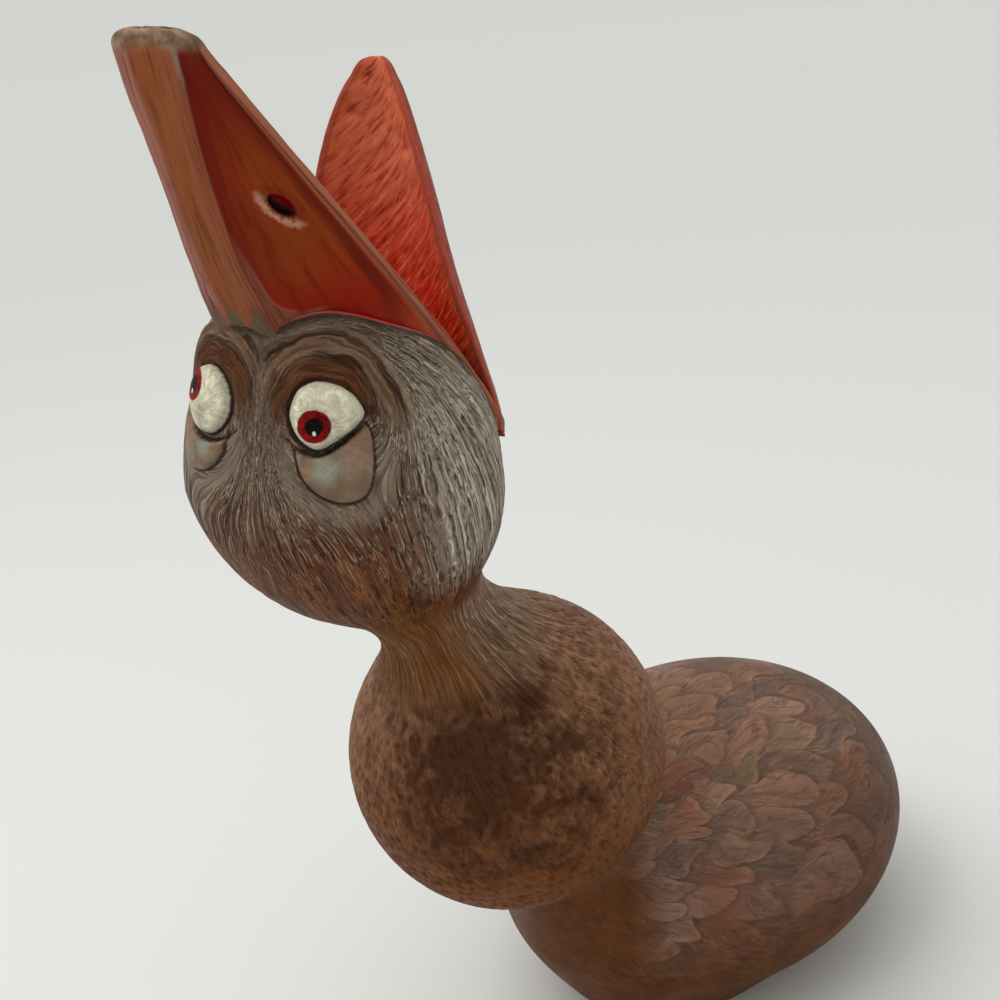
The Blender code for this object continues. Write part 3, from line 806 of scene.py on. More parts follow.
def beak_piece(name, halves, tip, relief):
    """A closed skin over mirrored half sections, with its relief and measures."""
    mirrored = vec(1.0, -1.0, 1.0, 1.0)
    rings = np.array([np.vstack([half, half[-2:0:-1] * mirrored]) for half in halves])
    rows, around = rings.shape[:2]
    points = rings[:, :, :3].reshape(-1, 3)
    part = rings[:, :, 3].reshape(-1)
    up_share = np.repeat(crowded(rows), around)
    grid = rings[:, :, :3]
    along = np.gradient(grid, axis=0)
    across = np.roll(grid, -1, axis=1) - np.roll(grid, 1, axis=1)
    ways = np.cross(across, along).reshape(-1, 3)
    ways /= np.maximum(np.linalg.norm(ways, axis=1, keepdims=True), 1e-9)
    centre = np.repeat(grid.mean(axis=1), around, axis=0)
    if np.sum(np.einsum("ij,ij->i", ways, points - centre)) < 0.0:
        ways = -ways
    height, marks = relief(points, part, up_share)
    carved = points + height[:, None] * ways
    head_gap = wood(points + vec(*HEAD_CENTRE))
    side = np.sign(points[:, 1] + 1e-9)
    attributes = {
        "beak_place": np.column_stack([part, up_share, side]),
        "beak_flow": np.column_stack([PART_WIDTH * part * side, np.zeros(len(part)), BEAK_RUN * up_share]),
        "beak_point": points,
        "beak_marks": np.column_stack([head_gap, marks, height]),
    }
    carved = np.vstack([carved, tip[None, :], grid[0].mean(axis=0)[None, :]])
    attributes = {k: np.concatenate([v, v[-1:], v[:1]]) for k, v in attributes.items()}
    faces = grid_faces(rows, around)
    closing(faces, rows * around, (rows - 1) * around, around, False)
    closing(faces, rows * around + 1, 0, around, True)
    return piece(name, posed(carved + vec(*HEAD_CENTRE)), faces, attributes)


def upper_relief(points, part, up_share):
    near = folded(points)
    away = near - vec(*NOSTRIL)
    long_ = away[:, 0] * math.cos(NOSTRIL_SLANT) + away[:, 2] * math.sin(NOSTRIL_SLANT)
    short = -away[:, 0] * math.sin(NOSTRIL_SLANT) + away[:, 2] * math.cos(NOSTRIL_SLANT)
    on_panel = (part > 2.5) & (part < 7.5)
    ring = np.sqrt((long_ / NOSTRIL_HALF[0]) ** 2 + (short / NOSTRIL_HALF[1]) ** 2)
    ring = np.where(on_panel & (np.abs(away[:, 1]) < 5.0), ring, 9.0)
    pit = -NOSTRIL_DEPTH * soft_step(-ring, -1.0, -0.45)
    lip = 0.4 * hump(ring, 1.4, 0.35) * soft_step(-short, -0.6, 0.9)
    strokes = grain(points / vec(1.3, 1.3, 9.0), 21) * 0.08
    palate = (part > 8.6) * 0.22 * grain(points / vec(2.0, 2.0, 3.0), 22)
    worn = 0.2 * grain(points / vec(2.6, 2.6, 1.8), 23) * soft_step(up_share, 0.93, 1.0)
    return pit + lip + strokes + palate + worn, np.minimum(ring, 9.0)


def lower_relief(points, part, up_share):
    inside = soft_step(-part, -4.2, -3.4)
    lean = points[:, 2] * 0.8 - points[:, 1] * 0.62
    ridges = grain(np.column_stack([lean / 1.15, points[:, 1] / 9.0, points[:, 2] / 9.0]), 31)
    lumps = grain(points / vec(3.0, 2.1, 2.4), 32) * soft_step(up_share, 0.3, 0.9)
    rim = 0.25 * grain(points / vec(1.2, 1.2, 5.0), 33) * (1.0 - inside)
    height = inside * (0.26 * ridges * (1.0 - 0.6 * soft_step(up_share, 0.5, 0.9)) + 0.42 * lumps) + 0.3 * rim
    return height, np.zeros(len(points))


def rounded_end(sections):
    """Draws the last sections in like the end of an egg. Returns the point that closes them."""
    for i, half in enumerate(sections):
        along = 1.0 - (1.0 - i / (len(sections) - 1.0)) ** TIP_CROWDING
        share = (along - 1.0) / TIP_SHARE + 1.0
        if share > 0.0:
            middle = 0.5 * (half[0, :3] + half[-1, :3])
            pull = 1.0 - 0.92 * (1.0 - max(1.0 - share ** 3, 0.0) ** (1.0 / 3.0))
            half[:, :3] = middle + (half[:, :3] - middle) * pull + vec(0.2, 0.0, 1.0) * TIP_REACH * share
    middle = 0.5 * (sections[-1][0, :3] + sections[-1][-1, :3])
    before = 0.5 * (sections[-2][0, :3] + sections[-2][-1, :3])
    return middle + 0.3 * (middle - before)


def upper_mandible():
    rows, points = (int(count * FINENESS) for count in UPPER_MESH)
    ridges, halves, edges = even_curve(RIDGE, rows), even_curve(RIDGE_HALF, rows)[:, 0], even_curve(EDGE, rows)
    recessed = soft_step(-crowded(rows), -0.95, -0.87)
    sections = [even_half(upper_half(*keys), points) for keys in zip(ridges, halves, edges, recessed)]
    tip = rounded_end(sections)
    return beak_piece("upper_mandible", sections, tip, upper_relief)


def lower_mandible():
    rows, points = (int(count * FINENESS) for count in LOWER_MESH)
    curves = (even_curve(keys, rows) for keys in (LOWER_EDGE, TROUGH, LOWER_BACK))
    sections = [even_half(lower_half(*keys), points) for keys in zip(*curves)]
    tip = rounded_end(sections)
    return beak_piece("lower_mandible", sections, tip, lower_relief)


# ---------------------------------------------------------------- paint


def paint(red, green, blue):
    """A colour from its everyday 0 to 255 values."""
    out = []
    for value in (red, green, blue):
        s = value / 255.0
        out.append(s / 12.92 if s <= 0.04045 else ((s + 0.055) / 1.055) ** 2.4)
    return (*out, 1.0)


# Sockets of the mix node that take and give colours.
MIX_FIRST, MIX_SECOND, MIX_RESULT = 6, 7, 2


class Signal:
    """A node's output, which can be added, multiplied and so on like a number."""

    def __init__(self, bench, socket):
        self.bench = bench
        self.socket = socket

    def __add__(self, other):
        return self.bench.math("ADD", self, other)

    def __sub__(self, other):
        return self.bench.math("SUBTRACT", self, other)

    def __rsub__(self, other):
        return self.bench.math("SUBTRACT", other, self)

    def __mul__(self, other):
        return self.bench.math("MULTIPLY", self, other)

    def __truediv__(self, other):
        return self.bench.math("DIVIDE", self, other)

    def __pow__(self, power):
        return self.bench.math("POWER", self, power)

    def __abs__(self):
        return self.bench.math("ABSOLUTE", self)


class Bench:
    """Lays out the nodes of one material or group. Colours are given by their everyday 0 to 255 values."""

    def __init__(self, tree):
        self.tree = tree

    def set(self, socket, value):
        if isinstance(value, Signal):
            self.tree.links.new(value.socket, socket)
        else:
            socket.default_value = value

    def node(self, kind, inputs=(), **settings):
        node = self.tree.nodes.new(kind)
        for key, value in settings.items():
            setattr(node, key, value)
        for key, value in inputs.items() if isinstance(inputs, dict) else enumerate(inputs):
            self.set(node.inputs[key], value)
        return node

    def made(self, kind, inputs=(), output=0, **settings):
        return Signal(self, self.node(kind, inputs, **settings).outputs[output])

    def named(self, sockets):
        return {socket.name: Signal(self, socket) for socket in sockets if socket.name}

    def measure(self, name, output="Vector"):
        return self.made("ShaderNodeAttribute", output=output, attribute_name=name)

    def parts(self, vector):
        return [Signal(self, socket) for socket in self.node("ShaderNodeSeparateXYZ", (vector,)).outputs]

    def math(self, operation, *values):
        return self.made("ShaderNodeMath", values, operation=operation)

    def reach(self, x, y):
        """Length of the line to x, y."""
        return self.math("SQRT", x * x + y * y)

    def step(self, value, low, high, to_low=0.0, to_high=1.0):
        """Eases from one number to the other while the value goes from low to high."""
        return self.made("ShaderNodeMapRange", (value, low, high, to_low, to_high), interpolation_type="SMOOTHSTEP")

    def hump(self, value, middle, width):
        """One at the middle, fading to nothing a width away."""
        return self.step(abs(value - middle), width, 0.0)

    def mix(self, share, first, second):
        first, second = (paint(*colour) if isinstance(colour, tuple) else colour for colour in (first, second))
        return self.made("ShaderNodeMix", {"Factor": share, MIX_FIRST: first, MIX_SECOND: second}, MIX_RESULT,
                         data_type="RGBA", blend_type="MIX")

    def coats(self, colour, *layers):
        """Lays further colours over the first, each by its own share."""
        for share, top in layers:
            colour = self.mix(share, colour, top)
        return colour

    def stretch(self, vector, size):
        return self.made("ShaderNodeVectorMath", (vector, size), operation="DIVIDE")

    def shift(self, vector, amount):
        return self.made("ShaderNodeVectorMath", (vector, amount), operation="ADD")

    def noise(self, vector, scale=1.0, detail=2.0, rough=0.5, distortion=0.0):
        inputs = {"Vector": vector, "Scale": scale, "Detail": detail, "Roughness": rough, "Distortion": distortion}
        return self.made("ShaderNodeTexNoise", inputs, "Fac")

    def join(self, x, y, z):
        return self.made("ShaderNodeCombineXYZ", (x, y, z))

    def ramp(self, value, stops):
        node = self.node("ShaderNodeValToRGB", (value,))
        elements = node.color_ramp.elements
        while len(elements) < len(stops):
            elements.new(0.5)
        for element, (place, colour) in zip(elements, stops):
            element.position = place
            element.color = paint(*colour)
        return Signal(self, node.outputs[0])

    def use(self, group, **inputs):
        return self.named(self.node("ShaderNodeGroup", inputs, node_tree=group).outputs)

    def give(self, **results):
        """Ends a group with its named results."""
        for key in results:
            self.tree.interface.new_socket(name=key, in_out="OUTPUT", socket_type="NodeSocketFloat")
        self.node("NodeGroupOutput", results)

    def finish(self, colour, roughness, shine, relief, strength, depth):
        """Fills in the material's own shader, with fine relief as bump."""
        bump = self.made("ShaderNodeBump", {"Strength": strength, "Distance": depth, "Height": relief})
        shader = self.tree.nodes["Principled BSDF"]
        for key, value in (("Base Color", colour), ("Roughness", roughness), ("Specular IOR Level", shine),
                           ("Normal", bump)):
            self.set(shader.inputs[key], value)


def new_group(name, **numbers):
    """An empty node group that takes a place and some numbers. Returns its tree, its bench and what it takes."""
    tree = bpy.data.node_groups.new(name, "ShaderNodeTree")
    tree.interface.new_socket(name="Place", in_out="INPUT", socket_type="NodeSocketVector")
    for key, value in numbers.items():
        tree.interface.new_socket(name=key, in_out="INPUT", socket_type="NodeSocketFloat").default_value = value
    bench = Bench(tree)
    return tree, bench, bench.named(bench.node("NodeGroupInput").outputs)


def brush_strokes():
    """Thin strokes and broader streaks along a flow whose third number runs along the strokes."""
    tree, b, given = new_group("Brush strokes", Width=1.0, Length=10.0, Wander=0.6)
    drift = b.noise(b.stretch(given["Place"], (7.0, 7.0, 9.0)), 1.0, 1.0)
    drift = (drift - 0.5) * (given["Wander"] * 6.0)
    place = b.shift(given["Place"], b.join(drift, drift, 0.0))
    size = b.join(given["Width"], given["Width"], given["Length"])
    fine = b.noise(b.stretch(place, size), 1.0, 1.6, 0.55)
    broad = b.noise(b.stretch(b.shift(place, (40.0, 11.0, 5.0)), b.stretch(size, (0.3, 0.3, 0.45))), 1.0, 2.0, 0.5)
    other = b.noise(b.stretch(b.shift(place, (9.0, 70.0, 31.0)), b.stretch(size, (1.2, 1.2, 0.9))), 1.0, 2.0, 0.6)
    b.give(Thin=fine, Broad=b.step(broad, 0.3, 0.7), Lights=b.step(other, 0.56, 0.64), Darks=b.step(fine, 0.44, 0.36))
    return tree


def mottle():
    """Soft blotches of paint in two sizes."""
    tree, b, given = new_group("Mottled paint", Size=10.0)
    size = b.join(given["Size"], given["Size"], given["Size"])
    place = b.stretch(given["Place"], size)
    b.give(Large=b.step(b.noise(place, 1.0, 2.0, 0.5, 0.4), 0.35, 0.65),
           Small=b.step(b.noise(place, 3.1, 3.0, 0.6, 0.6), 0.35, 0.65))
    return tree


FEATHERS_ROUND = 24.0
FEATHER_LENGTH = 17.0


def feather_scallops():
    """Overlapping painted feathers: a number for each, its pale tip, its shadow, its rib and its barbs."""
    tree, b, given = new_group("Feather scallops")
    x, y, z = b.parts(given["Place"])
    wave = b.noise(b.stretch(given["Place"], (19.0, 19.0, 19.0)), 1.0, 0.5)
    sway = b.noise(b.stretch(b.shift(given["Place"], (60.0, 3.0, 9.0)), (17.0, 17.0, 17.0)), 1.0, 0.5)
    turns = b.math("ARCTAN2", y, x) / (2.0 * math.pi)
    turns = turns + (sway - 0.5) * 0.075
    along = z / FEATHER_LENGTH + (wave - 0.5) * 1.5
    row = b.math("FLOOR", along)
    rise = along - row

    def column_of(which):
        half = b.math("FLOORED_MODULO", which, 2.0) * 0.5
        u = turns * FEATHERS_ROUND + half
        cell = b.math("FLOOR", u)
        return (u - cell - 0.5) * 2.0, b.math("FLOORED_MODULO", cell, FEATHERS_ROUND)

    above = row - 1.0
    side, column = column_of(above)
    over = side ** 2.0 + (rise / 0.8) ** 2.0
    covered = b.step(over, 1.06, 0.94)
    side_low, column_low = column_of(row)

    def number(cell, line):
        return b.made("ShaderNodeTexWhiteNoise", {"Vector": b.join(cell, line, 0.0)}, "Value", noise_dimensions="2D")

    def choose(first, second):
        return covered * first + (1.0 - covered) * second

    own = choose(number(column, above), number(column_low, row))
    across = choose(side, side_low)
    reach = choose(rise + 1.0, rise)
    lean = abs(across) * 3.4 + reach * -3.0
    barbs = b.noise(b.join(lean + own * 90.0, across * 1.1, 0.0), 1.6, 2.0, 0.5)
    b.give(Number=own, Tip=covered * b.step(over, 0.25, 0.95),
           Shadow=(1.0 - covered) * b.step(over, 1.8, 1.0),
           Rib=b.hump(across, 0.0, 0.2), Barbs=b.step(barbs, 0.46, 0.36))
    return tree


def new_material(name):
    material = bpy.data.materials.new(name)
    material.use_nodes = True
    return material, Bench(material.node_tree)


def plumage_material(strokes, blotches, scallops):
    """Paint of body, chest, neck and head, with the eyes."""
    material, b = new_material("Painted plumage")
    on_head, on_ball, on_body = b.parts(b.measure("zones"))
    hair = b.measure("hair_flow")
    ring = b.measure("ring_flow")
    carving = b.measure("carving", "Fac")
    position = b.stretch(b.made("ShaderNodeTexCoord", output="Object"), (MM, MM, MM))
    aside, south, height = b.parts(position)
    aside = abs(aside)
    spots = b.use(blotches, Place=position, Size=20.0)
    daub = b.use(blotches, Place=position, Size=3.0)

    def patch(place, radius, softness):
        """One near a place given in millimetres, with a ragged soft edge."""
        away = b.made("ShaderNodeVectorMath", (position, place), "Value", operation="DISTANCE")
        ragged = away + (spots["Small"] - 0.5) * (radius * 0.5)
        return b.step(ragged, radius, radius * (1.0 - softness))

    body = body_paint(b, strokes, scallops, spots, daub, patch, aside, south, height)
    ball, dabs = ball_paint(b, strokes, ring, spots, daub, patch, height)
    neck, neck_lines = neck_paint(b, strokes, ring, height)
    hair_colour, fine = hair_paint(b, strokes, hair, carving, spots, aside, south, height)
    head = face_paint(b, blotches, hair_colour, fine, daub, position)
    low = neck_lines["Thin"] * (1.0 - on_ball) + dabs["Thin"] * on_ball
    b.finish(colour=b.coats(neck, (on_body, body), (on_ball, ball), (on_head, head)),
             roughness=b.step(b.noise(position, 0.06, 2.0), 0.3, 0.7, 0.4, 0.55), shine=0.06,
             relief=fine["Thin"] * on_head + low * (1.0 - on_head), strength=0.8, depth=0.5 * MM)
    return material


FEATHER_TONES = (
    (0.0, (110, 74, 60)), (0.15, (144, 104, 84)), (0.3, (120, 92, 80)), (0.45, (164, 124, 106)),
    (0.6, (116, 96, 74)), (0.72, (152, 100, 78)), (0.86, (98, 84, 76)), (1.0, (136, 104, 90)))
RUSTY_PATCHES = (((14.0, -35.0, 72.0), 11.0), ((40.0, -46.0, 48.0), 13.0), ((44.0, 34.0, 62.0), 12.0),
                 ((-30.0, -30.0, 66.0), 12.0), ((-46.0, 10.0, 56.0), 13.0))


def body_paint(b, strokes, scallops, spots, daub, patch, aside, south, height):
    """Loosely painted feathers in tan, mauve and brown over warm brown wood, with painted shade towards the tail, the
    outer sides and the underside.
    """
    flow = b.measure("feather_flow")
    feathers = b.use(scallops, Place=flow)
    streaks = b.use(strokes, Place=flow, Width=1.2, Length=9.0, Wander=1.2)
    plume = b.coats(
        b.ramp(feathers["Number"], FEATHER_TONES),
        (feathers["Tip"] * spots["Small"] * 0.45, (178, 134, 108)),
        (feathers["Shadow"] * 0.5, (60, 46, 38)),
        (feathers["Barbs"] * 0.4, (70, 54, 46)),
        (feathers["Rib"] * ((1.0 - feathers["Tip"]) * 0.35), (52, 46, 42)),
        (streaks["Darks"] * 0.45, (70, 52, 44)),
        (streaks["Lights"] * 0.35, (168, 126, 102)),
        (spots["Large"] * 0.3, (104, 66, 46)),
        (streaks["Broad"] * 0.35, (110, 86, 72)))
    for place, radius in RUSTY_PATCHES:
        plume = b.mix(patch(place, radius, 0.9) * 0.36, plume, (126, 66, 48))
    # Darker towards the tail and the outer sides: painted shade where the body turns away from the light.
    plume = b.coats(
        plume,
        (b.step(south, 4.0, 56.0) * 0.5, (66, 42, 32)),
        (b.step(aside, 38.0, 56.0) * 0.5, (66, 40, 32)))
    # Low on the body and at its low front the feathers give way to streaked warm brown: in part bare wood, in part
    # painted shade and warm light thrown up from below.
    grain_lines = b.mix(streaks["Thin"], (78, 36, 6), (114, 64, 18))
    warm = b.mix(spots["Small"] * 0.5, grain_lines, (60, 28, 8))
    low = b.step(height + daub["Large"] * 6.0, 54.0, 25.0)
    front = b.step(south, -58.0, -70.0) * b.step(height, 76.0, 58.0)
    return b.mix(b.math("MAXIMUM", low, front) * 0.88, plume, warm)


def ball_paint(b, strokes, ring, spots, daub, patch, height):
    """Dashes of mauve, tan and brown between the gouge cuts of the chest ball, with a dark patch on the front that is
    partly the painted shadow of the head.
    """
    gouge = b.parts(b.measure("gouge"))
    dabs = b.use(strokes, Place=ring, Width=0.9, Length=3.6, Wander=1.0)
    lines = b.use(strokes, Place=ring, Width=0.8, Length=12.0, Wander=0.6)
    # Lighter towards the top, for the ridges, the hollows and the pale dashes: partly the paint's own tone, partly
    # painted light from above.
    upper = b.step(height, 80.0, 130.0)
    shoulder = b.step(height, 128.0, 139.0)
    ridge = b.coats(
        b.mix(upper, (114, 62, 18), (156, 112, 84)),
        (gouge[1] * 0.4, (106, 60, 34)),
        (spots["Large"] * 0.45, (98, 56, 28)))
    # The gouge hollows take the darker brown: partly darker paint in the cuts, partly painted shade in them.
    hollow = b.mix(upper, (66, 34, 12), (88, 58, 44))
    ball = b.coats(
        b.mix(b.step(gouge[0], 0.1, 0.9) * 0.55, ridge, hollow),
        (dabs["Darks"] * 0.42, (48, 26, 14)),
        (dabs["Lights"] * upper * 0.45, (172, 138, 118)),
        (daub["Small"] * 0.25, (78, 46, 26)),
        # Dark patch on the front of the chest: partly dark paint, partly the painted shadow of the head.
        (patch((20.0, -117.0, 116.0), 40.0, 0.85) * 0.85, b.mix(dabs["Thin"], (28, 11, 4), (74, 36, 12))),
        (lines["Lights"] * shoulder * 0.6, (176, 156, 136)),
        (lines["Darks"] * shoulder * 0.7, (44, 28, 20)))
    return ball, dabs


def neck_paint(b, strokes, ring, height):
    """Fine lengthwise strokes: warm brown at the throat, greyer with pale lines at the sides and back."""
    lines = b.use(strokes, Place=ring, Width=0.7, Length=12.0, Wander=0.5)
    rear = b.step(b.parts(ring)[0], -24.0, 6.0)
    neck = b.coats(
        b.mix(lines["Broad"], (100, 58, 24), (124, 78, 40)),
        (rear * 0.7, b.mix(lines["Broad"], (104, 80, 62), (134, 110, 92))),
        (lines["Darks"] * 0.6, (50, 29, 15)))
    light = lines["Lights"] * b.step(rear, 0.0, 1.0, 0.22, 0.85)
    return b.mix(light, neck, (186, 168, 148)), lines


def hair_paint(b, strokes, hair, carving, spots, aside, south, height):
    """Brushed hair of the head: dark and pale strokes over grey, red-brown on the cheeks, warm at the chin, silvery
    at the sides partly as a painted sheen.
    """
    locks = b.use(strokes, Place=hair, Width=1.2, Length=54.0, Wander=0.8)
    middle = b.use(strokes, Place=b.shift(hair, (17.0, 5.0, 60.0)), Width=0.62, Length=42.0, Wander=0.6)
    fine = b.use(strokes, Place=hair, Width=0.4, Length=30.0, Wander=0.4)
    # Silvery grey on the sides of the head, back from the face: partly silvery paint, partly a painted sheen of light
    # along them.
    silver_and_sheen = b.step(aside, 20.0, 31.0) * b.step(south, -146.0, -128.0)
    cheek = b.step(height, 198.0, 180.0) * (1.0 - silver_and_sheen * 0.8)
    chin = b.step(height, 188.0, 168.0)
    dark = b.mix(cheek, (46, 33, 26), (50, 22, 12))
    ground = b.coats(
        b.mix(locks["Broad"], (92, 70, 54), (122, 100, 84)),
        (cheek * b.step(spots["Small"], 0.0, 1.0, 0.4, 0.85), (104, 54, 32)),
        (chin * (1.0 - silver_and_sheen * 0.7) * 0.9, b.mix(locks["Broad"], (96, 48, 10), (124, 72, 24))),
        (silver_and_sheen * 0.75, (164, 152, 138)))
    pale = 1.0 - b.math("MAXIMUM", cheek * 0.72, chin) * 0.9
    colour = b.coats(
        ground,
        (locks["Darks"] * 0.65, dark),
        (locks["Lights"] * silver_and_sheen * 0.85, (214, 206, 192)),
        (middle["Darks"] * 0.8, dark),
        (middle["Lights"] * (pale * b.step(silver_and_sheen, 0.0, 1.0, 0.6, 0.95)), (194, 178, 158)),
        (fine["Lights"] * pale * 0.75, (206, 196, 180)),
        (fine["Darks"] * 0.7, (34, 21, 16)),
        # Darker in the carved hair grooves: partly dark paint in them, partly painted shade.
        (carving * -1.0 * 0.5, dark))
    return colour, fine


def face_paint(b, blotches, hair_colour, fine, daub, position):
    """Brows, pouches, lids and eyes over the hair."""
    a, up, side = b.parts(b.measure("eye_place"))
    ball_gap, pouch_gap, lid_gap = b.parts(b.measure("eye_lines"))
    rim_gap, border_gap, facing = b.parts(b.measure("rim_lines"))
    radius = b.reach(a, up)
    bearing = b.math("ARCTAN2", up, a)
    rough_edge = (b.noise(position, 0.8, 1.0, 0.5) - 0.5) * 0.8

    wobble = (b.noise(position, 0.13, 2.0) - 0.5) * 4.4
    arc = radius + wobble
    sweep = b.noise(b.join(arc * 1.5, bearing * 1.3, side * 9.0), 1.0, 3.0, 0.6)
    brow = b.coats(
        b.mix(b.step(sweep, 0.4, 0.6), (66, 42, 30), (136, 108, 86)),
        (b.step(arc, 10.8, 9.6) * 0.8, b.mix(sweep, (44, 20, 8), (112, 62, 30))),
        (b.hump(arc, 12.6, 1.7) * 0.55, b.mix(sweep, (104, 70, 50), (160, 128, 104))),
        (b.hump(arc, 10.6, 0.9) * 0.55, (44, 28, 20)),
        (b.hump(arc, 14.6, 0.7) * 0.6, (56, 40, 32)),
        (b.hump(arc, 16.0, 0.9) * 0.6, (158, 140, 120)),
        (fine["Darks"] * 0.35, (44, 30, 24)))
    above = b.step(up, -5.0, 4.0) * b.step(border_gap, 0.8, 2.2) * b.step(a, -13.0, -8.5)
    edge = b.step(arc + (fine["Thin"] - 0.5) * 7.0, 18.0, 15.0)
    under = b.hump(b.math("MAXIMUM", pouch_gap, 0.0), 2.2, 3.2) * b.step(up, -2.0, -7.0)
    head = b.coats(
        hair_colour,
        (above * facing * edge, brow),
        # Dark band on the hair just under the beak's border: painted shadow under the raised edge of the beak.
        (b.step(border_gap, 2.2, 0.5) * 0.8, b.mix(fine["Thin"], (30, 22, 20), (90, 74, 64))),
        (b.step(border_gap, 0.25, 0.0), (188, 84, 78)),
        (b.step(border_gap, -0.35, -0.7), b.mix(daub["Small"], (136, 6, 4), (160, 14, 8))),
        (b.measure("throat", "Fac"), b.mix(daub["Small"], (120, 20, 14), (160, 46, 32))),
        (under * facing * b.step(fine["Thin"], 0.3, 0.6, 0.35, 0.75), (134, 118, 104)))

    bag_spots = b.use(blotches, Place=position, Size=4.0)
    bag = b.coats(
        b.mix(bag_spots["Large"], (118, 100, 80), (140, 124, 106)),
        (bag_spots["Small"] * 0.3, (112, 84, 62)),
        (b.step(b.reach(a + 0.4, up + 9.4), 3.8, 0.4) * 0.62, (150, 158, 146)),
        (b.step(a, 2.0, 5.0) * b.step(up, -11.0, -7.0) * 0.5, (148, 110, 94)),
        (b.step(b.reach(a + 3.4, up + 9.2), 2.6, 0.4) * 0.45, (150, 104, 68)))
    dark = (44, 31, 26)
    near = b.step(side, -0.2, 0.2)
    outline = ball_gap + rough_edge * 0.5 - b.step(a, 3.0, -5.0, 0.35, 1.05)
    corner = b.step(b.reach((a - 8.2) * 0.6, up - 1.0) + rough_edge, 1.6, 0.5) * (facing * near)
    lid = lid_gap + rough_edge * 0.6 - b.step(abs(a - 0.5), 10.5, 3.0, 0.1, 0.55)
    head = b.coats(
        head,
        (b.step(pouch_gap + rough_edge * 0.4, 0.1, -0.2) * facing, bag),
        (b.step(rim_gap + rough_edge * 0.35, 0.5, 0.15) * facing * 0.85, dark),
        (b.step(outline, 0.2, -0.3) * facing * 0.92, dark),
        (corner * 0.8, (48, 30, 22)),
        (b.step(lid, 0.15, -0.35) * facing * 0.93, (38, 27, 22)))

    white = b.coats(
        b.mix(daub["Small"], (222, 212, 182), (250, 244, 222)),
        (daub["Large"] * 0.5, (176, 170, 144)),
        # Greyer towards the eyeball's edge: partly grey paint, partly painted shade where it meets the lids.
        (b.step(ball_gap, -1.3, -0.2, 0.0, 0.4), (150, 142, 120)))
    iris_a = a - (near * (IRIS_NEAR[0] - IRIS_FAR[0]) + IRIS_FAR[0])
    iris_b = up - (near * (IRIS_NEAR[1] - IRIS_FAR[1]) + IRIS_FAR[1])
    iris_gap = b.reach(iris_a, iris_b) + rough_edge * 0.35
    glint_gap = b.reach(iris_a * 1.4, iris_b + 1.2)
    eye = b.coats(
        white,
        (b.step(iris_gap, 3.1, 2.8), b.mix(daub["Small"], (104, 8, 10), (156, 20, 22))),
        (b.step(iris_gap, 1.75, 1.4), (14, 10, 10)),
        (b.step(glint_gap, 0.55, 0.3), (236, 232, 228)))
    return b.mix(b.step(ball_gap + rough_edge * 0.3, 0.15, -0.1) * facing, head, eye)


FLARE_RADIUS = 6.0
FLARE_OFFSET = 2.0
FLARE_LINE = 5.0


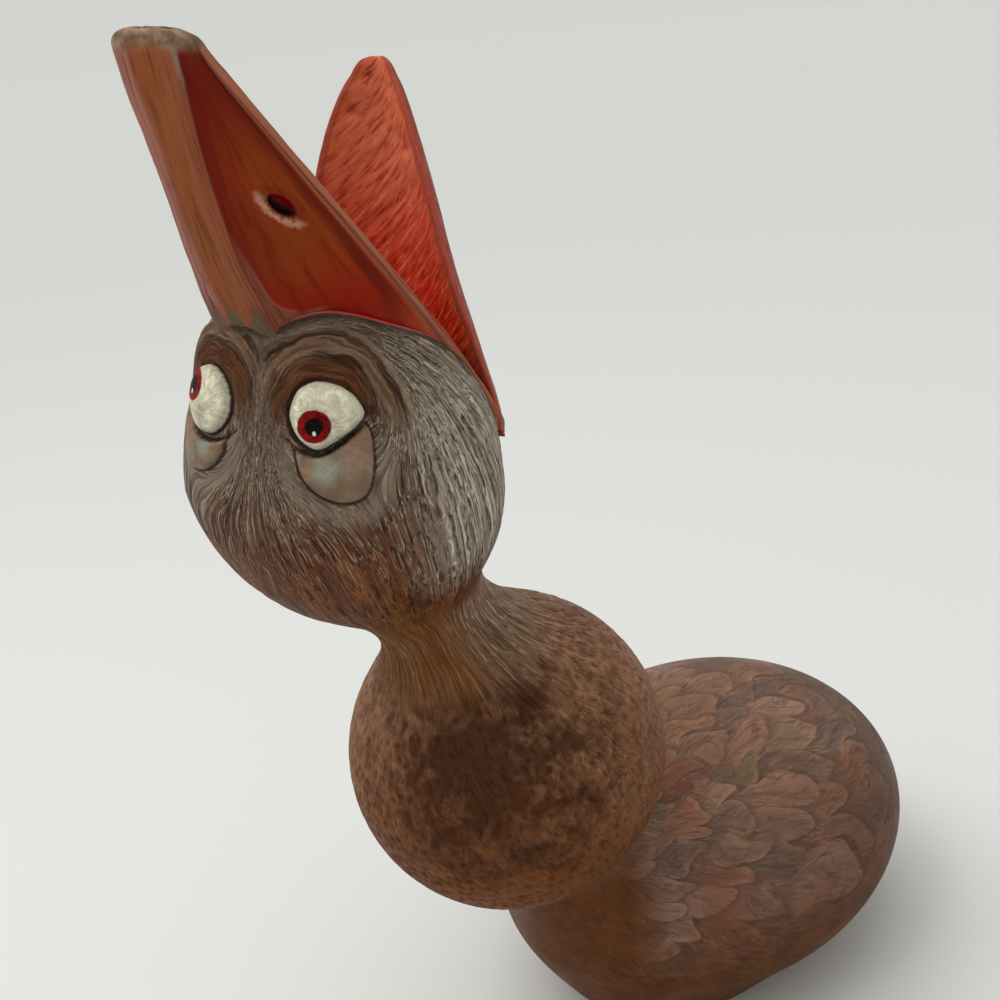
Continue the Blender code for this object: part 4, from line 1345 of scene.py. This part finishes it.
def beak_material(strokes, blotches):
    """Paint of the upper mandible, outside and in."""
    material, b = new_material("Painted beak")
    part, up_share, _ = b.parts(b.measure("beak_place"))
    point = b.measure("beak_point")
    gap, ring, _ = b.parts(b.measure("beak_marks"))
    ahead, across, rise = b.parts(point)
    left = abs(across)
    flow = b.measure("beak_flow")
    streaks = b.use(strokes, Place=flow, Width=0.6, Length=26.0, Wander=0.12)
    broad = b.use(strokes, Place=flow, Width=2.2, Length=34.0, Wander=0.2)
    spots = b.use(blotches, Place=point, Size=9.0)

    culmen = b.coats(
        b.mix(streaks["Thin"], (104, 50, 24), (160, 90, 48)),
        (broad["Broad"] * 0.35, (132, 66, 40)),
        (b.step(part, 0.4, 1.1) * b.step(across, 1.0, -3.0, 0.12, 0.85),
         b.mix(streaks["Thin"], (104, 62, 54), (186, 128, 116))))
    low_red = b.step(rise + ahead * 0.35, 58.0, 38.0) * b.step(ahead, -6.0, 14.0)
    edge_line = b.hump(part, 6.4, 0.5) * b.step(rise, 26.0, 46.0, 0.1, 0.7)
    mouth_corner = b.step(rise + ahead * 0.8, 44.0, 20.0)
    panel = b.coats(
        b.mix(streaks["Thin"], (112, 30, 6), (146, 66, 18)),
        (broad["Broad"] * 0.3, (140, 46, 10)),
        (b.step(part, 4.9, 3.4) * 0.85, (112, 16, 8)),
        (low_red * 0.92, b.mix(broad["Broad"], (140, 4, 2), (156, 18, 6))),
        (b.step(rise, 62.0, 80.0) * 0.75, (104, 10, 6)),
        (edge_line, (80, 10, 6)),
        (mouth_corner * 0.75, b.mix(streaks["Thin"], (168, 52, 28), (200, 88, 58))))
    rim = b.mix(streaks["Thin"], (120, 50, 30), (196, 128, 98))
    rim = b.mix(b.hump(part, 7.0, 0.25) * 0.6, rim, (82, 26, 16))
    palate = b.mix(spots["Small"], (172, 42, 22), (192, 78, 52))
    upper = b.coats(
        culmen,
        (b.step(part, 2.2, 2.8), panel),
        (b.hump(part, 2.35, 0.3) * 0.45, (128, 82, 60)),
        (b.step(part, 6.6, 7.0), rim),
        (b.step(part, 8.6, 9.4), palate))

    from_ridge = b.reach(ahead - (rise * 0.5 + 8.1), left - 7.0)
    to_ridge = b.math("MAXIMUM", FLARE_RADIUS + FLARE_OFFSET - from_ridge, 0.0)
    to_head = b.math("MAXIMUM", FLARE_RADIUS - gap, 0.0)
    corner = b.reach(to_ridge, to_head)
    on_panel = b.step(part, 2.5, 3.0) * b.step(part, 6.8, 6.2)
    flared = b.step(corner, FLARE_LINE, FLARE_LINE + 0.5) * on_panel * b.step(rise, 62.0, 46.0)
    line = b.hump(corner, FLARE_LINE, 0.5) * on_panel * b.step(rise, 56.0, 44.0)
    worn = b.step(up_share + (spots["Large"] - 0.5) * 0.02, 0.92, 0.975)
    chips = b.use(blotches, Place=point, Size=3.2)
    worn_paint = b.mix(chips["Large"], (100, 82, 60), (156, 134, 114))
    worn_paint = b.mix(chips["Small"] * 0.4, worn_paint, (140, 98, 72))
    worn_edge = b.hump(part, 2.35, 0.8) * b.step(up_share + chips["Small"] * 0.03, 0.8, 0.9)
    above_slit = (rise - NOSTRIL[2]) * math.cos(NOSTRIL_SLANT) - (ahead - NOSTRIL[0]) * math.sin(NOSTRIL_SLANT)
    hole = b.mix(b.step(above_slit, -0.1, 0.7), (22, 8, 8), (120, 6, 12))
    lip = b.hump(ring + (chips["Small"] - 0.5) * 0.25, 1.5, 0.5) * b.step(above_slit, 0.2, -1.6)
    fur = b.mix(streaks["Thin"], (44, 30, 24), (136, 108, 88))
    ragged = gap + (streaks["Thin"] - 0.5) * 18.0
    on_ridge = b.step(part, 2.8, 2.2)
    flush = b.step(left, 2.0, 5.0) * b.step(gap, 7.0, 3.0) * on_ridge
    upper = b.coats(
        upper,
        (flared * b.step(from_ridge, 14.0, 10.0), b.mix(streaks["Thin"], (96, 44, 30), (140, 86, 66))),
        (line * b.step(to_ridge, 0.0, 2.0, 0.0, 0.6), (150, 84, 70)),
        (worn_edge * 0.75, (146, 130, 116)),
        (streaks["Darks"] * 0.25, (72, 18, 10)),
        (worn, worn_paint),
        (lip * b.step(chips["Small"], 0.0, 1.0, 0.55, 0.95), (214, 160, 134)),
        (b.hump(ring, 1.3, 0.5) * 0.3, (70, 14, 8)),
        (b.step(ring, 1.1, 0.8), hole),
        (flush * 0.6, (104, 34, 18)),
        (b.step(ragged, 4.4, 2.2) * on_ridge, fur))
    b.finish(colour=upper, roughness=b.step(spots["Small"], 0.0, 1.0, 0.36, 0.5), shine=0.07,
             relief=streaks["Thin"], strength=0.5, depth=0.4 * MM)
    return material


def mouth_material(strokes, blotches):
    """Paint of the lower mandible: red-orange trough with pale ridges, darker rims and back; the pale and dark on the
    trough's ridges and lumps are partly painted highlight and shade.
    """
    material, b = new_material("Painted lower beak")
    part, up_share, _ = b.parts(b.measure("beak_place"))
    point = b.measure("beak_point")
    gap, _, height = b.parts(b.measure("beak_marks"))
    _, across, rise = b.parts(point)
    flow = b.measure("beak_flow")
    spots = b.use(blotches, Place=point, Size=7.0)
    streaks = b.use(strokes, Place=flow, Width=0.8, Length=12.0, Wander=0.8)
    comb = b.noise(b.join(rise * 0.75 + across * -0.7, across * 0.2, 0.0), 1.3, 3.0, 0.6)
    hollow = b.coats(
        b.mix(b.step(up_share, 0.3, 0.75), (212, 42, 18), (210, 108, 76)),
        # Pale and dark along the fine ridges: partly painted highlight and shade on them.
        (b.step(comb, 0.5, 0.64) * 0.6, (226, 128, 92)),
        (b.step(comb, 0.47, 0.36) * 0.7, (158, 34, 18)),
        # Paler on raised lumps and darker in the dips: painted highlight and painted shade.
        (b.step(height, 0.12, 0.45, 0.0, 0.6), (216, 128, 98)),
        (b.step(height, -0.12, -0.45, 0.0, 0.6), (128, 30, 18)),
        # Orange inside the rim: partly orange paint, partly a painted highlight.
        (b.step(part, 2.3, 3.4) * 0.5, (206, 96, 44)))
    rim = b.mix(streaks["Thin"], (140, 40, 26), (188, 94, 74))
    back = b.mix(streaks["Thin"], (116, 30, 18), (160, 64, 44))
    colour = b.mix(b.step(part, 3.4, 4.0), hollow, rim)
    colour = b.mix(b.step(part, 5.0, 5.8), colour, back)
    foot = b.step(gap + (streaks["Thin"] - 0.5) * 9.0, 3.6, 1.6) * b.step(part, 5.4, 6.2)
    colour = b.mix(foot, colour, b.mix(streaks["Thin"], (48, 34, 28), (120, 98, 82)))
    b.finish(colour=colour, roughness=b.step(spots["Small"], 0.0, 1.0, 0.38, 0.52), shine=0.12,
             relief=comb, strength=0.7, depth=0.5 * MM)
    return material


# ---------------------------------------------------------------- studio

CAMERA_PLACE = (0.20156, -0.32044, 0.270)
CAMERA_LENS = 50.4
CAMERA_HEADING = math.radians(40.0)
CAMERA_PITCH = math.radians(18.5)
CAMERA_ROLL = math.radians(-5.5)
FLOOR_RADIUS = 80.0
FLOOR_COLOUR = (0.757, 0.76, 0.75, 1.0)
FLOOR_ROUGHNESS = 0.85
SKY_COLOUR = (0.985, 1.0, 0.955, 1.0)
SKY_STRENGTH = 0.66
OVERHEAD_STRENGTH = 0.7
OVERHEAD_SOFTNESS = math.radians(60.0)
OVERHEAD_WAY = (0.2, 0.25, -1.0)


def camera():
    data = bpy.data.cameras.new("Camera")
    data.lens = CAMERA_LENS
    data.clip_start = 0.01
    obj = placed_object("Camera", data)
    across = Vector((math.cos(CAMERA_HEADING), math.sin(CAMERA_HEADING), 0.0))
    ahead = Vector((-math.sin(CAMERA_HEADING), math.cos(CAMERA_HEADING), 0.0))
    up = Vector((0.0, 0.0, 1.0))
    look = math.cos(CAMERA_PITCH) * ahead - math.sin(CAMERA_PITCH) * up
    down = -math.sin(CAMERA_PITCH) * ahead - math.cos(CAMERA_PITCH) * up
    right = math.cos(CAMERA_ROLL) * across - math.sin(CAMERA_ROLL) * down
    top = -(math.sin(CAMERA_ROLL) * across + math.cos(CAMERA_ROLL) * down)
    turn = Matrix((right, top, -look)).transposed().to_4x4()
    turn.translation = Vector(CAMERA_PLACE)
    obj.matrix_world = turn
    bpy.context.scene.camera = obj


def point_along(obj, way):
    obj.rotation_mode = "QUATERNION"
    obj.rotation_quaternion = way.to_track_quat("-Z", "Y")


def soft_light(name, place, aim, size, power, colour):
    data = bpy.data.lights.new(name, "AREA")
    data.shape = "DISK"
    data.size = size
    data.energy = power
    data.color = colour
    obj = placed_object(name, data)
    obj.location = place
    point_along(obj, Vector(aim) - Vector(place))


def studio():
    bm = bmesh.new()
    bmesh.ops.create_circle(bm, cap_ends=True, segments=128, radius=FLOOR_RADIUS)
    mesh = bpy.data.meshes.new("floor")
    bm.to_mesh(mesh)
    bm.free()
    floor = placed_object("floor", mesh)
    material, bench = new_material("Pale floor")
    shader = bench.tree.nodes["Principled BSDF"]
    shader.inputs["Base Color"].default_value = FLOOR_COLOUR
    shader.inputs["Roughness"].default_value = FLOOR_ROUGHNESS
    mesh.materials.append(material)
    world = bpy.data.worlds.new("Studio")
    world.use_nodes = True
    background = world.node_tree.nodes["Background"]
    background.inputs["Color"].default_value = SKY_COLOUR
    background.inputs["Strength"].default_value = SKY_STRENGTH
    bpy.context.scene.world = world
    sky = bpy.data.lights.new("Overhead light", "SUN")
    sky.energy = OVERHEAD_STRENGTH
    sky.angle = OVERHEAD_SOFTNESS
    point_along(placed_object("Overhead light", sky), Vector(OVERHEAD_WAY))
    soft_light("Key light", place=(-0.25, -0.5, 0.95), aim=(0.0, -0.06, 0.13), size=0.6, power=2.6,
               colour=(1.0, 0.99, 0.96))
    bpy.context.scene.view_settings.view_transform = "Standard"


def main():
    camera()
    strokes = brush_strokes()
    blotches = mottle()
    plumage = plumage_material(strokes, blotches, feather_scallops())
    beak = beak_material(strokes, blotches)
    mouth = mouth_material(strokes, blotches)
    for made, finish in ((body_piece(), plumage), (head_piece(), plumage), (upper_mandible(), beak),
                         (lower_mandible(), mouth)):
        made.data.materials.append(finish)
        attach(made, "root")
        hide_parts("carved_bird")
    studio()


main()
